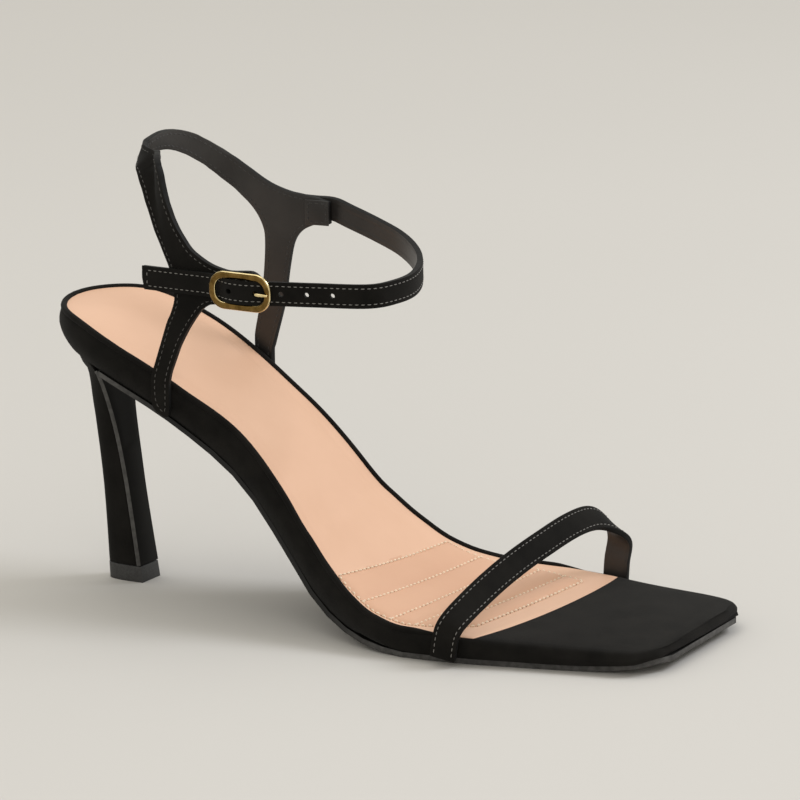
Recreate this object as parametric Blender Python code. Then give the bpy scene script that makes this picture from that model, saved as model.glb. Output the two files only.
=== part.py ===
"""Right-foot ankle-strap sandal on a slim high heel, as separate solids in metres.

X runs from the heel's back to the toe, Y points to the inner side of the foot
and Z points up. The shoe stands on its heel tip and on the flat of its forefoot.
"""

import math

import bmesh
import bpy
import numpy as np
from mathutils import Vector
from mathutils.geometry import delaunay_2d_cdt

MM = 0.001

# Sole sizes
SOLE_LENGTH = 217.5 * MM
BALL_WIDTH = 84.5 * MM
SEAT_RISE = 79.5 * MM
SOLE_THICKNESS = 8.8 * MM
TOE_SPRING = 3.2 * MM
TOE_SLANT = 2.0 * MM
TOE_CORNER = 9.0 * MM
HEEL_ROUND = 27.0 * MM
EDGE_ROUND = 1.3 * MM
SIDE_BULGE = 0.6 * MM
SIDE_TAPER = 2.4 * MM
OUTSOLE_THICKNESS = 1.5 * MM
OUTSOLE_LIP = 0.7 * MM
GAP = 0.3 * MM

# Insole sizes
INSOLE_THICKNESS = 1.4 * MM
INSOLE_PROUD = 0.3 * MM
INSOLE_RIM = 1.5 * MM
INSOLE_FRONT = 172.5 * MM
INSOLE_FRONT_RADIUS = 170.0 * MM
INSOLE_FRONT_SIDE = 25.0 * MM

# Heel sizes
TOP_PIECE_HEIGHT = 5.2 * MM
TIP_BACK = 11.4 * MM
TIP_FRONT = 25.6 * MM
TIP_WIDTH = 9.8 * MM
TIP_OFFSET = 1.5 * MM
HEEL_TWIST = 0.10
SEAT_WIDTH = 49.0 * MM
SEAT_BACK = 2.0 * MM
BREAST_CORNER = 2.5 * MM

# Strap sizes
WALL = 1.8 * MM
VAMP_WIDTH = 8.4 * MM
VAMP_RISE = 29.0 * MM
VAMP_BACK = 151.5 * MM
VAMP_SKEW = 17.5 * MM
ANKLE_STRAP_WIDTH = 7.4 * MM
LOOP_TOP = 146.0 * MM
LOOP_REACH = 42.0 * MM
ANKLE_BACK = 33.1 * MM
ANKLE_OUTER = 26.0 * MM
ANKLE_INNER = 24.5 * MM
ANKLE_SPLAY = 0.055
ANKLE_OUTER_RADIUS = 26.0 * MM
ANKLE_INNER_RADIUS = 20.0 * MM
OUTER_LEG_SHIFT = 2.7 * MM
INNER_LEG_SHIFT = -1.8 * MM
STRAP_REACH = 91.5 * MM
STRAP_LEVEL = 107.2 * MM
PATCH_SIZE = 8.0 * MM
PATCH_THICKNESS = 0.9 * MM

# Buckle sizes
BUCKLE_PLACE = 80.4 * MM
BUCKLE_LENGTH = 21.8 * MM
BUCKLE_HEIGHT = 12.6 * MM
BUCKLE_CORNER = 4.2 * MM
BUCKLE_WIRE = 1.7 * MM
TAB_THICKNESS = 1.0 * MM
TAB_WIDTH = 7.0 * MM
TAB_LENGTH = 7.0 * MM
PRONG_WIRE = 1.2 * MM
PRONG_HOLE = 2.3 * MM
HOLE_PITCH = 8.1 * MM
PADDLE_HEIGHT = 11.6 * MM

# The sole's stations: place along its length, rise of its underside, its
# thickness, and its outer and inner half widths as shares of the ball width.
SOLE_COLUMNS = ("along", "rise", "thick", "outer", "inner")
SOLE_ROWS = (
    (0.000, 1.000, 1.36, 0.325, 0.315),
    (0.078, 0.953, 1.51, 0.330, 0.320),
    (0.162, 0.863, 1.45, 0.349, 0.333),
    (0.245, 0.741, 1.48, 0.342, 0.308),
    (0.329, 0.567, 1.76, 0.324, 0.266),
    (0.412, 0.316, 2.05, 0.361, 0.275),
    (0.454, 0.172, 2.07, 0.388, 0.307),
    (0.495, 0.088, 1.82, 0.425, 0.352),
    (0.537, 0.038, 1.44, 0.462, 0.398),
    (0.578, 0.012, 1.18, 0.492, 0.446),
    (0.628, 0.000, 1.03, 0.508, 0.484),
    (0.706, 0.000, 0.99, 0.497, 0.492),
    (0.789, 0.000, 0.95, 0.458, 0.470),
    (0.858, 0.000, 0.89, 0.422, 0.446),
    (0.917, 0.000, 0.78, 0.395, 0.430),
    (1.000, 0.000, 0.50, 0.370, 0.410),
)
SPRING_START = 0.84

# The heel's sections: height as a share of the seat's rise, how far its back
# and its breast have moved from the tip towards the seat, and its half width
# at the breast as a share of the way from tip to seat.
HEEL_COLUMNS = ("up", "back", "breast", "wide")
HEEL_ROWS = (
    (0.00, 0.00, 0.00, 0.00),
    (0.35, 0.11, 0.39, -0.02),
    (0.52, 0.21, 0.58, 0.00),
    (0.65, 0.30, 0.75, 0.04),
    (0.755, 0.41, 0.89, 0.13),
    (0.83, 0.46, 0.98, 0.24),
    (0.875, 0.50, 1.00, 0.36),
    (0.915, 0.60, 0.92, 0.58),
    (0.95, 0.74, 0.80, 0.78),
    (0.98, 0.88, 0.70, 0.92),
    (1.00, 1.00, 0.62, 1.00),
)
BREAST_TRAVEL = 9.3 * MM

# The vamp strap's centre line: place across as a share of the half ball
# width, height as a share of its rise, place along as a share of its skew,
# and how steeply its width leans down towards the toe.
VAMP_COLUMNS = ("across", "up", "along", "lean")
VAMP_ROWS = (
    (-1.00, 0.32, 0.06, 0.25),
    (-0.97, 0.46, 0.16, 0.50),
    (-0.84, 0.60, 0.26, 0.90),
    (-0.58, 0.74, 0.38, 1.15),
    (-0.30, 0.86, 0.52, 1.30),
    (0.00, 0.95, 0.66, 1.40),
    (0.36, 1.02, 0.80, 1.35),
    (0.66, 1.00, 0.90, 1.10),
    (0.86, 0.86, 1.02, 0.80),
    (0.965, 0.66, 1.09, 0.45),
    (0.985, 0.42, 1.04, 0.10),
)

# Edges of the rear upper, unrolled round the ankle: place around from the
# back's middle (outer side negative) as a share of the loop's reach, and
# height as a share of the loop's top.
EDGE_COLUMNS = ("around", "up")
LOOP_UNDER_EDGE = (
    (-0.655, 0.524), (-0.757, 0.589), (-0.833, 0.632), (-0.893, 0.669),
    (-0.917, 0.702), (-0.869, 0.762), (-0.740, 0.831), (-0.626, 0.888),
    (-0.526, 0.923), (-0.405, 0.943), (-0.19, 0.951), (0.0, 0.954),
    (0.21, 0.950), (0.364, 0.936), (0.52, 0.909), (0.662, 0.876),
    (0.821, 0.838), (0.929, 0.806), (0.99, 0.774), (1.007, 0.744),
    (0.997, 0.685), (0.960, 0.579), (0.933, 0.525),
)
LOOP_OVER_EDGE = (
    (-1.381, 0.764), (-1.240, 0.773), (-1.120, 0.790), (-1.035, 0.810),
    (-0.910, 0.864), (-0.835, 0.918), (-0.775, 0.958), (-0.700, 0.979),
    (-0.570, 0.985), (-0.330, 0.983), (0.0, 0.988), (0.24, 0.991), (0.45, 0.977),
    (0.595, 0.953), (0.738, 0.925), (0.890, 0.895), (1.048, 0.868),
    (1.202, 0.853), (1.314, 0.848), (1.45, 0.842),
)
OUTER_FRONT_EDGE = (
    (-0.815, 0.514), (-0.850, 0.542), (-0.921, 0.582), (-0.998, 0.618),
    (-1.081, 0.653), (-1.155, 0.678), (-1.238, 0.691),
)
INNER_FRONT_EDGE = (
    (1.09, 0.500), (1.110, 0.520), (1.152, 0.595), (1.181, 0.654),
    (1.202, 0.692), (1.240, 0.741), (1.307, 0.768), (1.42, 0.785),
)
BRANCH_REACH = 1.54
BRANCH_TOP = 0.836
BRANCH_LOW = 0.788

# The free run of the ankle strap: place forward of the buckle as a share of
# the strap's reach, place across as a share of the ankle's outer half width,
# and height above the strap's level as a share of the loop's top.
STRAP_COLUMNS = ("forward", "across", "up")
STRAP_ROWS = (
    (0.25, -1.155, 0.001),
    (0.415, -1.00, 0.002),
    (0.467, -0.70, 0.003),
    (0.477, -0.31, 0.005),
    (0.437, 0.16, 0.011),
    (0.360, 0.58, 0.020),
    (0.262, 0.88, 0.034),
    (0.150, 1.03, 0.052),
    (0.040, 1.095, 0.072),
)


def column(rows, columns, name):
    """One named column of a table."""
    place = columns.index(name)
    return np.array([row[place] for row in rows], dtype=float)


def ease(knots, values, query):
    """Smooth curve through a table's rows that never overshoots them."""
    knots = np.asarray(knots, dtype=float)
    values = np.asarray(values, dtype=float)
    steps = np.diff(knots)
    slopes = np.diff(values) / steps
    tangents = np.zeros(len(knots))
    tangents[0] = slopes[0]
    tangents[-1] = slopes[-1]
    for i in range(1, len(knots) - 1):
        before, after = slopes[i - 1], slopes[i]
        if before * after > 0.0:
            w1 = 2.0 * steps[i] + steps[i - 1]
            w2 = steps[i] + 2.0 * steps[i - 1]
            tangents[i] = (w1 + w2) / (w1 / before + w2 / after)
    query = np.clip(np.asarray(query, dtype=float), knots[0], knots[-1])
    span = np.clip(np.searchsorted(knots, query, side="right") - 1, 0, len(steps) - 1)
    u = (query - knots[span]) / steps[span]
    h = steps[span]
    return (
        (2 * u**3 - 3 * u**2 + 1) * values[span]
        + (u**3 - 2 * u**2 + u) * h * tangents[span]
        + (3 * u**2 - 2 * u**3) * values[span + 1]
        + (u**3 - u**2) * h * tangents[span + 1]
    )


def smoothstep(value):
    """Zero below 0, one above 1, and a soft rise between."""
    value = np.clip(value, 0.0, 1.0)
    return value * value * (3.0 - 2.0 * value)


def smooth_path(points, per_span=5):
    """Points on a smooth curve through the given points, of any dimension."""
    points = [np.asarray(p, dtype=float) for p in points]
    first = 2 * points[0] - points[1]
    last = 2 * points[-1] - points[-2]
    ring = [first] + points + [last]
    path = []
    for i in range(1, len(ring) - 2):
        a, b, c, d = ring[i - 1], ring[i], ring[i + 1], ring[i + 2]
        for k in range(per_span):
            u = k / per_span
            path.append(0.5 * (
                2 * b + (c - a) * u + (2 * a - 5 * b + 4 * c - d) * u**2
                + (3 * b - a - 3 * c + d) * u**3
            ))
    path.append(points[-1])
    return np.array(path)


def rounded_path(points, radii, closed=False, per_corner=8):
    """A run of straight lines whose inner corners are turned into arcs."""
    points = [np.asarray(p, dtype=float) for p in points]
    count = len(points)
    path = [] if closed else [points[0]]
    corners = range(count) if closed else range(1, count - 1)
    for i in corners:
        before = points[(i - 1) % count] - points[i]
        after = points[(i + 1) % count] - points[i]
        before /= np.linalg.norm(before)
        after /= np.linalg.norm(after)
        half = 0.5 * math.acos(float(np.clip(before @ after, -1.0, 1.0)))
        radius = radii[i if closed else i - 1]
        middle = before + after
        centre = points[i] + middle / np.linalg.norm(middle) * radius / math.sin(half)
        start = points[i] + before * radius / math.tan(half) - centre
        end = points[i] + after * radius / math.tan(half) - centre
        turn = math.pi - 2.0 * half
        for k in range(per_corner + 1):
            u = k / per_corner
            path.append(centre + (
                start * math.sin((1 - u) * turn) + end * math.sin(u * turn)
            ) / math.sin(turn))
    if not closed:
        path.append(points[-1])
    return np.array(path)


def run_length(path):
    """Distance along a path at each of its points."""
    steps = np.linalg.norm(np.diff(path, axis=0), axis=1)
    return np.concatenate(([0.0], np.cumsum(steps)))


# Materials
def finish(name, colour, roughness, metallic=0.0):
    """A plain material that stands for one real finish."""
    material = bpy.data.materials.new(name)
    material.use_nodes = True
    shader = material.node_tree.nodes["Principled BSDF"]
    shader.inputs["Base Color"].default_value = (*colour, 1.0)
    shader.inputs["Roughness"].default_value = roughness
    shader.inputs["Metallic"].default_value = metallic
    material.diffuse_color = (*colour, 1.0)
    return material


def add_object(name, verts, faces, material=None, smooth=True):
    """A closed mesh object with its faces turned outwards."""
    mesh = bpy.data.meshes.new(name)
    mesh.from_pydata([tuple(float(c) for c in v) for v in verts], [], faces)
    shell = bmesh.new()
    shell.from_mesh(mesh)
    bmesh.ops.recalc_face_normals(shell, faces=shell.faces)
    shell.to_mesh(mesh)
    shell.free()
    if material:
        mesh.materials.append(material)
    piece = bpy.data.objects.new(name, mesh)
    bpy.context.scene.collection.objects.link(piece)
    if smooth:
        mesh.shade_smooth()
        mesh.set_sharp_from_angle(angle=math.radians(35))
    return piece


def hide_cutter(cutter):
    """Keep a cutting shape out of the finished model."""
    cutter.hide_render = True
    cutter.display_type = "WIRE"


def combine(piece, other, operation):
    """Cut a shape from a piece, or join it on, with an exact Boolean."""
    modifier = piece.modifiers.new(other.name, "BOOLEAN")
    modifier.operation = operation
    modifier.object = other
    modifier.solver = "EXACT"
    hide_cutter(other)


def loft(name, sections, material=None, triangles=False):
    """A closed solid through rings of points, with flat ends."""
    count = len(sections[0])
    verts = [point for ring in sections for point in ring]
    faces = []
    for i in range(len(sections) - 1):
        for k in range(count):
            a = i * count + k
            b = i * count + (k + 1) % count
            if triangles:
                faces += [(a, b, b + count), (a, b + count, a + count)]
            else:
                faces.append((a, b, b + count, a + count))
    faces.append(tuple(range(count)))
    last = (len(sections) - 1) * count
    faces.append(tuple(last + k for k in range(count)))
    return add_object(name, verts, faces, material)


def prism(name, outline, low, high):
    """A side-view outline of X and Z, drawn out along Y."""
    rings = [[(x, y, z) for x, z in outline] for y in (low, high)]
    return loft(name, rings)


def tube(name, path, diameter, material=None, sides=8):
    """A round wire along a path."""
    path = np.asarray(path, dtype=float)
    tangents = np.gradient(path, axis=0)
    tangents /= np.linalg.norm(tangents, axis=1)[:, None]
    side = np.cross(tangents[0], (0.31, 0.17, 0.94))
    rings = []
    for point, tangent in zip(path, tangents):
        side = side - tangent * (side @ tangent)
        side /= np.linalg.norm(side)
        other = np.cross(tangent, side)
        angles = [2 * math.pi * k / sides for k in range(sides)]
        rings.append([
            point + 0.5 * diameter * (math.cos(a) * side + math.sin(a) * other)
            for a in angles
        ])
    return loft(name, rings, material)


def ribbon(name, path, leans, width, thickness, material):
    """A flat strap whose inner face follows a path."""
    path = np.asarray(path, dtype=float)
    tangents = np.gradient(path, axis=0)
    rings = []
    for point, tangent, lean in zip(path, tangents, leans):
        tangent = tangent / np.linalg.norm(tangent)
        across = lean - tangent * (lean @ tangent)
        across = across / np.linalg.norm(across) * width / 2
        out = np.cross(tangent, across)
        out = out / np.linalg.norm(out) * thickness
        rings.append([
            point - across, point + across,
            point + across + out, point - across + out,
        ])
    return loft(name, rings, material)


# The last: the sole's surfaces as functions of the place along it
def sole_value(name, x):
    """A column of the sole's table at a place along the sole."""
    along = column(SOLE_ROWS, SOLE_COLUMNS, "along")
    return ease(along, column(SOLE_ROWS, SOLE_COLUMNS, name), np.asarray(x) / SOLE_LENGTH)


def underside(x):
    """Height of the outsole's underside."""
    lift = np.clip((np.asarray(x) / SOLE_LENGTH - SPRING_START) / (1.0 - SPRING_START), 0, 1)
    return sole_value("rise", x) * SEAT_RISE + TOE_SPRING * lift**2


def topside(x):
    """Height of the footbed's top."""
    return underside(x) + sole_value("thick", x) * SOLE_THICKNESS


def outsole_depth(x):
    """Upright depth of the outsole where the sole slopes."""
    step = 0.5 * MM
    slope = (underside(x + step) - underside(x - step)) / (2 * step)
    return OUTSOLE_THICKNESS * np.sqrt(1.0 + slope**2)


def half_width(x, side):
    """Half width of the footbed's outline, rounded at the heel and the toe."""
    x = np.asarray(x, dtype=float)
    width = sole_value("outer" if side < 0 else "inner", x) * BALL_WIDTH
    back = np.clip(1.0 - x / HEEL_ROUND, 0.0, 1.0)
    front = np.clip((x - (SOLE_LENGTH - TOE_CORNER)) / TOE_CORNER, 0.0, 1.0)
    return width * np.sqrt(1.0 - back**2) - TOE_CORNER * (1.0 - np.sqrt(1.0 - front**2))


def slant(x, y):
    """How far the toe's edge runs forward towards the inner side."""
    share = smoothstep((np.asarray(x) / SOLE_LENGTH - 0.75) / 0.25)
    return TOE_SLANT * share * y / (BALL_WIDTH / 2)


def stations(start, end):
    """Places along the sole, closer together at its round ends."""
    heel = HEEL_ROUND * (1.0 - np.cos(np.linspace(0.0, math.pi / 2, 9)))
    toe = SOLE_LENGTH - TOE_CORNER * (1.0 - np.sin(np.linspace(0.0, math.pi / 2, 6)))
    middle = np.linspace(HEEL_ROUND, SOLE_LENGTH - TOE_CORNER, 26)
    places = np.unique(np.round(np.concatenate((heel, middle, toe)), 7))
    inner = places[(places > start + MM) & (places < end - MM)]
    return np.concatenate(([start], inner, [end]))


def outline_rows(inset, places):
    """Plan outline, moved in square to itself, as pairs of outer and inner points."""
    outer = [np.array([x, -half_width(x, -1)]) for x in places]
    inner = [np.array([x, half_width(x, 1)]) for x in places]
    ring = outer + inner[::-1]
    count = len(ring)
    moved = []
    for i in range(count):
        along = ring[(i + 1) % count] - ring[i - 1]
        along = along / np.linalg.norm(along)
        moved.append(ring[i] + inset * np.array([-along[1], along[0]]))
    rows = []
    for i in range(len(places)):
        a, b = moved[i], moved[count - 1 - i]
        if i == 0:
            a = b = np.array([places[0] + inset, 0.5 * (a[1] + b[1])])
        if i == len(places) - 1:
            a[0] = b[0] = places[-1] - inset
        rows.append((a, b))
    return rows


def slab(name, layers, places, across, crown, material):
    """A closed sheet or block from plan outlines laid over each other.

    Each layer is an inset and a height function. The first is the top and the
    last is the bottom, and crown lifts the top between its edges.
    """
    verts = []
    faces = []
    rings = []
    grids = []
    for order, (inset, height) in enumerate(layers):
        rows = outline_rows(inset, places)
        grid = []
        for a, b in rows:
            line = []
            flat = order in (0, len(layers) - 1)
            shares = np.linspace(0.0, 1.0, across + 1) if flat else (0.0, 1.0)
            for share in shares:
                x, y = a + (b - a) * share
                z = float(height(x))
                if order == 0:
                    z += float(crown(x)) * 4.0 * share * (1.0 - share)
                line.append(len(verts))
                verts.append((x + float(slant(x, y)), y, z))
                if a is b:
                    break
            grid.append(line)
        ring = [line[0] for line in grid] + grid[-1][1:-1]
        ring += [line[-1] for line in grid[::-1]][:-1]
        if order in (0, len(layers) - 1):
            grids.append(grid)
        else:
            ring = [line[0] for line in grid] + [line[-1] for line in grid[::-1]][:-1]
        rings.append((ring, grid))
    for grid in grids:
        for i in range(len(grid) - 1):
            a, b = grid[i], grid[i + 1]
            if len(a) == 1:
                faces += [(a[0], b[k], b[k + 1]) for k in range(across)]
                continue
            faces += [(a[k], b[k], b[k + 1], a[k + 1]) for k in range(across)]
    for (ring_a, grid_a), (ring_b, grid_b) in zip(rings[:-1], rings[1:]):
        last_a, last_b = grid_a[-1], grid_b[-1]
        for i in range(len(places) - 1):
            for end in (0, -1):
                faces.append((
                    grid_a[i][end], grid_a[i + 1][end],
                    grid_b[i + 1][end], grid_b[i][end],
                ))
        faces.append(tuple(last_a) + tuple(last_b[::-1]))
    faces = [tuple(dict.fromkeys(face)) for face in faces]
    return add_object(name, verts, faces, material)


# The sole's pieces
def make_footbed(material):
    """The wrapped board: band, rim and toe cover, with a recess for the insole."""
    places = stations(0.0, SOLE_LENGTH)

    def level(share):
        def height(x):
            low = underside(x) + outsole_depth(x) + GAP
            return topside(x) * (1.0 - share) + low * share
        return height

    def toe_crown(x):
        return 1.2 * MM * smoothstep((x - 0.70 * SOLE_LENGTH) / (0.15 * SOLE_LENGTH))

    layers = (
        (EDGE_ROUND, level(0.0)),
        (0.35 * EDGE_ROUND, level(0.07)),
        (0.0, level(0.20)),
        (-SIDE_BULGE, level(0.45)),
        (0.3 * SIDE_TAPER, level(0.80)),
        (SIDE_TAPER, level(1.0)),
    )
    footbed = slab("footbed", layers, places, 6, toe_crown, material)
    floor = INSOLE_THICKNESS - INSOLE_PROUD + GAP
    recess_layers = (
        (INSOLE_RIM - GAP, lambda x: topside(x) + 6.0 * MM),
        (INSOLE_RIM - GAP, lambda x: topside(x) - floor),
    )
    end = INSOLE_FRONT + 8.0 * MM
    recess = slab("recess", recess_layers, places[places < end], 6, lambda x: 0.0, None)
    combine(recess, front_cutter("toe_cover_edge", 0.0), "DIFFERENCE")
    combine(footbed, recess, "DIFFERENCE")
    return footbed


def front_cutter(name, clearance):
    """Everything in front of the insole's rounded front edge."""
    centre = INSOLE_FRONT - INSOLE_FRONT_RADIUS
    radius = INSOLE_FRONT_RADIUS - clearance
    reach = BALL_WIDTH
    angle = math.asin(reach * 0.72 / INSOLE_FRONT_RADIUS)
    middle = math.asin(INSOLE_FRONT_SIDE / INSOLE_FRONT_RADIUS)
    arc = []
    for k in range(25):
        turn = -angle - middle + 2.0 * angle * k / 24
        arc.append((centre + radius * math.cos(turn), INSOLE_FRONT_SIDE + radius * math.sin(turn)))
    far = INSOLE_FRONT + BALL_WIDTH
    outline = arc + [(far, arc[-1][1]), (far, arc[0][1])]
    rings = [[(x, y, z) for x, y in outline] for z in (-BALL_WIDTH, BALL_WIDTH)]
    return loft(name, rings)


def make_insole(material):
    """The insole sheet that lies in the footbed's recess."""
    end = INSOLE_FRONT + 8.0 * MM
    places = stations(0.0, SOLE_LENGTH)
    places = places[places < end]
    layers = (
        (INSOLE_RIM + 0.3 * MM, lambda x: topside(x) + INSOLE_PROUD),
        (INSOLE_RIM, lambda x: topside(x) + INSOLE_PROUD - 0.4 * MM),
        (INSOLE_RIM, lambda x: topside(x) + INSOLE_PROUD - INSOLE_THICKNESS),
    )
    insole = slab("insole", layers, places, 6, lambda x: 0.0, material)
    combine(insole, front_cutter("insole_front_edge", GAP), "DIFFERENCE")
    return insole


def breast_line(up):
    """Place of the outsole's visible face along the heel's breast."""
    shares = column(HEEL_ROWS, HEEL_COLUMNS, "breast")
    ups = column(HEEL_ROWS, HEEL_COLUMNS, "up")
    return TIP_FRONT - BREAST_TRAVEL * ease(ups, shares, up / SEAT_RISE)


def heel_half_width(up):
    """Half width of the heel at its breast."""
    shares = column(HEEL_ROWS, HEEL_COLUMNS, "wide")
    ups = column(HEEL_ROWS, HEEL_COLUMNS, "up")
    share = ease(ups, shares, up / SEAT_RISE)
    return 0.5 * (TIP_WIDTH + (SEAT_WIDTH - TIP_WIDTH) * share)


def heel_shift(up, y):
    """Twist of the heel towards the outer side, fading out at the seat."""
    fade = 1.0 - smoothstep((up / SEAT_RISE - 0.6) / 0.3)
    return HEEL_TWIST * y * fade


def heel_middle(up):
    """Sideways place of the heel's middle."""
    return TIP_OFFSET * (1.0 - up / SEAT_RISE)


def breast_corner_height():
    """Height at which the breast meets the sole's underside."""
    low, high = 0.5 * SEAT_RISE, SEAT_RISE
    for _ in range(40):
        middle = 0.5 * (low + high)
        if underside(breast_line(middle)) > middle:
            low = middle
        else:
            high = middle
    return low


def outsole_path():
    """Side view of the outsole's visible face, from the toe to the heel tip.

    Rows of X, Z, and the direction towards the glued face.
    """
    corner_up = breast_corner_height()
    corner = breast_line(corner_up)
    under = stations(corner + 0.5 * MM, SOLE_LENGTH)[::-1]
    line = [np.array([x, float(underside(x))]) for x in under]
    heights = np.linspace(corner_up, TOP_PIECE_HEIGHT + GAP, 22)[1:]
    down = [np.array([float(breast_line(z)), z]) for z in heights]
    peak = np.array([corner, corner_up])
    before = line[-4] - peak
    after = down[1] - peak
    line = [p for p in line if np.linalg.norm(p - peak) > BREAST_CORNER]
    down = [p for p in down if np.linalg.norm(p - peak) > BREAST_CORNER]
    start = peak + before / np.linalg.norm(before) * BREAST_CORNER
    end = peak + after / np.linalg.norm(after) * BREAST_CORNER
    bend = [(1 - u) ** 2 * start + 2 * u * (1 - u) * peak + u**2 * end
            for u in np.linspace(0.0, 1.0, 7)]
    path = np.array(line + bend + down)
    tangents = np.gradient(path, axis=0)
    tangents /= np.linalg.norm(tangents, axis=1)[:, None]
    glued = np.stack((tangents[:, 1], -tangents[:, 0]), axis=1)
    glued[:3] = (0.0, 1.0)
    return path, glued, len(line) + 3


def make_outsole(material):
    """The thin outsole, turned down over the heel's breast."""
    path, glued, turn = outsole_path()
    rings = []
    for i, (point, up) in enumerate(zip(path, glued)):
        x, z = point
        if i <= turn:
            lip = SIDE_TAPER - OUTSOLE_LIP
            outer, inner = -half_width(x, -1) + lip, half_width(x, 1) - lip
            if i == turn:
                join = (outer, inner)
        else:
            middle = heel_middle(z)
            half = heel_half_width(z)
            outer, inner = middle - half, middle + half
            outer = max(outer, join[0])
            inner = min(inner, join[1])
        back = point + up * OUTSOLE_THICKNESS
        across = np.linspace(outer, inner, 5)
        ring = []
        for y, (px, pz) in [(y, point) for y in across] + [(y, back) for y in across[::-1]]:
            shift = float(slant(x, y)) if i <= turn else heel_shift(z, y)
            ring.append((px + shift, y, pz))
        rings.append(ring)
    return loft("outsole", rings, material)


def heel_section(up, front, widen=0.0):
    """D-shaped ring: flat breast, round back."""
    ups = column(HEEL_ROWS, HEEL_COLUMNS, "up")
    share = float(ease(ups, column(HEEL_ROWS, HEEL_COLUMNS, "back"), up / SEAT_RISE))
    back = TIP_BACK + (SEAT_BACK - TIP_BACK) * share
    half = float(heel_half_width(up)) + widen
    middle = heel_middle(up)
    round_off = float(smoothstep((up / SEAT_RISE - 0.6) / 0.3))
    ring = [(front, -half), (front, half)]
    steps = 14
    for k in range(1, steps):
        turn = math.pi * k / steps
        c, s = math.cos(turn), math.sin(turn)
        y = half * math.copysign(abs(c) ** (0.75 + 0.25 * round_off), c)
        x = front + (back - front) * s ** (0.62 + 0.38 * round_off)
        ring.append((x, y))
    return [(x + heel_shift(up, y), middle + y, up) for x, y in ring]


def make_heel(material):
    """The covered heel block between the top piece and the footbed."""
    path, glued, _ = outsole_path()
    heights = np.concatenate((
        np.linspace(TOP_PIECE_HEIGHT + GAP, 0.62 * SEAT_RISE, 8),
        np.linspace(0.67 * SEAT_RISE, 1.0 * SEAT_RISE, 12),
        [1.04 * SEAT_RISE],
    ))
    sections = []
    for up in heights:
        up = float(up)
        front = float(breast_line(min(up, SEAT_RISE))) + 4.0 * MM
        ring = heel_section(min(up, SEAT_RISE), front)
        sections.append([(x, y, up) for x, y, _ in ring])
    heel = loft("heel", sections, material, triangles=True)
    breast = path + glued * (OUTSOLE_THICKNESS + GAP)
    wide = 0.6 * SEAT_WIDTH
    low = -0.5 * SEAT_RISE
    rings = []
    for y in np.linspace(-wide, wide, 13):
        ring = [(x + heel_shift(z, y), y, z) for x, z in breast]
        ring.append((breast[-1][0] + heel_shift(0.0, y), y, low))
        ring.append((breast[0][0], y, low))
        rings.append(ring)
    combine(heel, loft("breast_cutter", rings, triangles=True), "DIFFERENCE")
    top = SEAT_RISE * 2
    seat = [(x, float(underside(max(x, 0.0)) + outsole_depth(max(x, MM))))
            for x in np.linspace(-20.0 * MM, 60.0 * MM, 28)]
    seat += [(60.0 * MM, top), (-20.0 * MM, top)]
    combine(heel, prism("seat_cutter", seat, -wide, wide), "DIFFERENCE")
    return heel


def make_top_piece(material):
    """The rubber top piece that the heel stands on."""
    rings = []
    for up in (0.0, TOP_PIECE_HEIGHT):
        front = float(breast_line(up))
        rings.append(heel_section(up, front))
    return loft("top_piece", rings, material)


# The upper
def ankle_plan():
    """Inner face of the rear upper seen from above, and distance along it."""
    back_slope = 0.079
    reach = 1.6 * STRAP_REACH
    outer_corner = (ANKLE_BACK + 0.0, -ANKLE_OUTER)
    inner_corner = (ANKLE_BACK - back_slope * (ANKLE_OUTER + ANKLE_INNER), ANKLE_INNER)
    outer_front = (ANKLE_BACK + reach, -ANKLE_OUTER - ANKLE_SPLAY * reach)
    inner_front = (ANKLE_BACK + reach, ANKLE_INNER + ANKLE_SPLAY * reach)
    plan = rounded_path(
        (outer_front, outer_corner, inner_corner, inner_front),
        (ANKLE_OUTER_RADIUS, ANKLE_INNER_RADIUS),
    )
    length = run_length(plan)
    back = plan[:, 0] < ANKLE_BACK + 5.0 * MM
    middle = np.interp(0.0, plan[back][:, 1], length[back])
    return plan, length - middle


def ankle_point(around, out=0.0):
    """Point and outward direction on the ankle's plan."""
    plan, length = ankle_plan()
    step = 0.4 * MM
    place = np.array([np.interp(around, length, plan[:, i]) for i in (0, 1)])
    ahead = np.array([np.interp(around + step, length, plan[:, i]) for i in (0, 1)])
    behind = np.array([np.interp(around - step, length, plan[:, i]) for i in (0, 1)])
    along = (ahead - behind) / np.linalg.norm(ahead - behind)
    outward = np.array([-along[1], along[0]])
    return place + outward * out, outward


def side_place(x, side):
    """Distance round the ankle's plan at a place along the shoe, on one side."""
    plan, length = ankle_plan()
    half = plan[:, 1] * side > 0
    run = plan[half]
    order = np.argsort(run[:, 0])
    return float(np.interp(x, run[order, 0], length[half][order]))


def leg_place(around):
    """Place along the shoe where the upper's leg meets the sole."""
    place, _ = ankle_point(around)
    return place[0] + (INNER_LEG_SHIFT if around > 0 else OUTER_LEG_SHIFT)


def wall_point(around, up, out):
    """Point of the rear upper's wall, hugging the footbed's side low down."""
    place, outward = ankle_point(around)
    side = 1.0 if around > 0 else -1.0
    x = leg_place(around)
    rim = float(topside(x))
    band = float(half_width(x, side)) + SIDE_BULGE + GAP
    share = float(smoothstep((rim + 24.0 * MM - up) / (22.0 * MM)))
    spot = place * (1.0 - share) + np.array([x, side * band]) * share
    square = outward * (1.0 - share) + np.array([0.0, side]) * share
    point = spot + square / np.linalg.norm(square) * out
    return (point[0], point[1], up)


def sole_edge_height(around):
    """Height just above the outsole at a place round the ankle."""
    x = leg_place(around)
    return float(underside(x) + outsole_depth(x)) + 1.5 * MM


def edge(rows, per_span=3):
    """An edge's rows as a smooth run of real places."""
    points = [(row[0] * LOOP_REACH, row[1] * LOOP_TOP) for row in rows]
    return [tuple(p) for p in smooth_path(points, per_span)]


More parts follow.
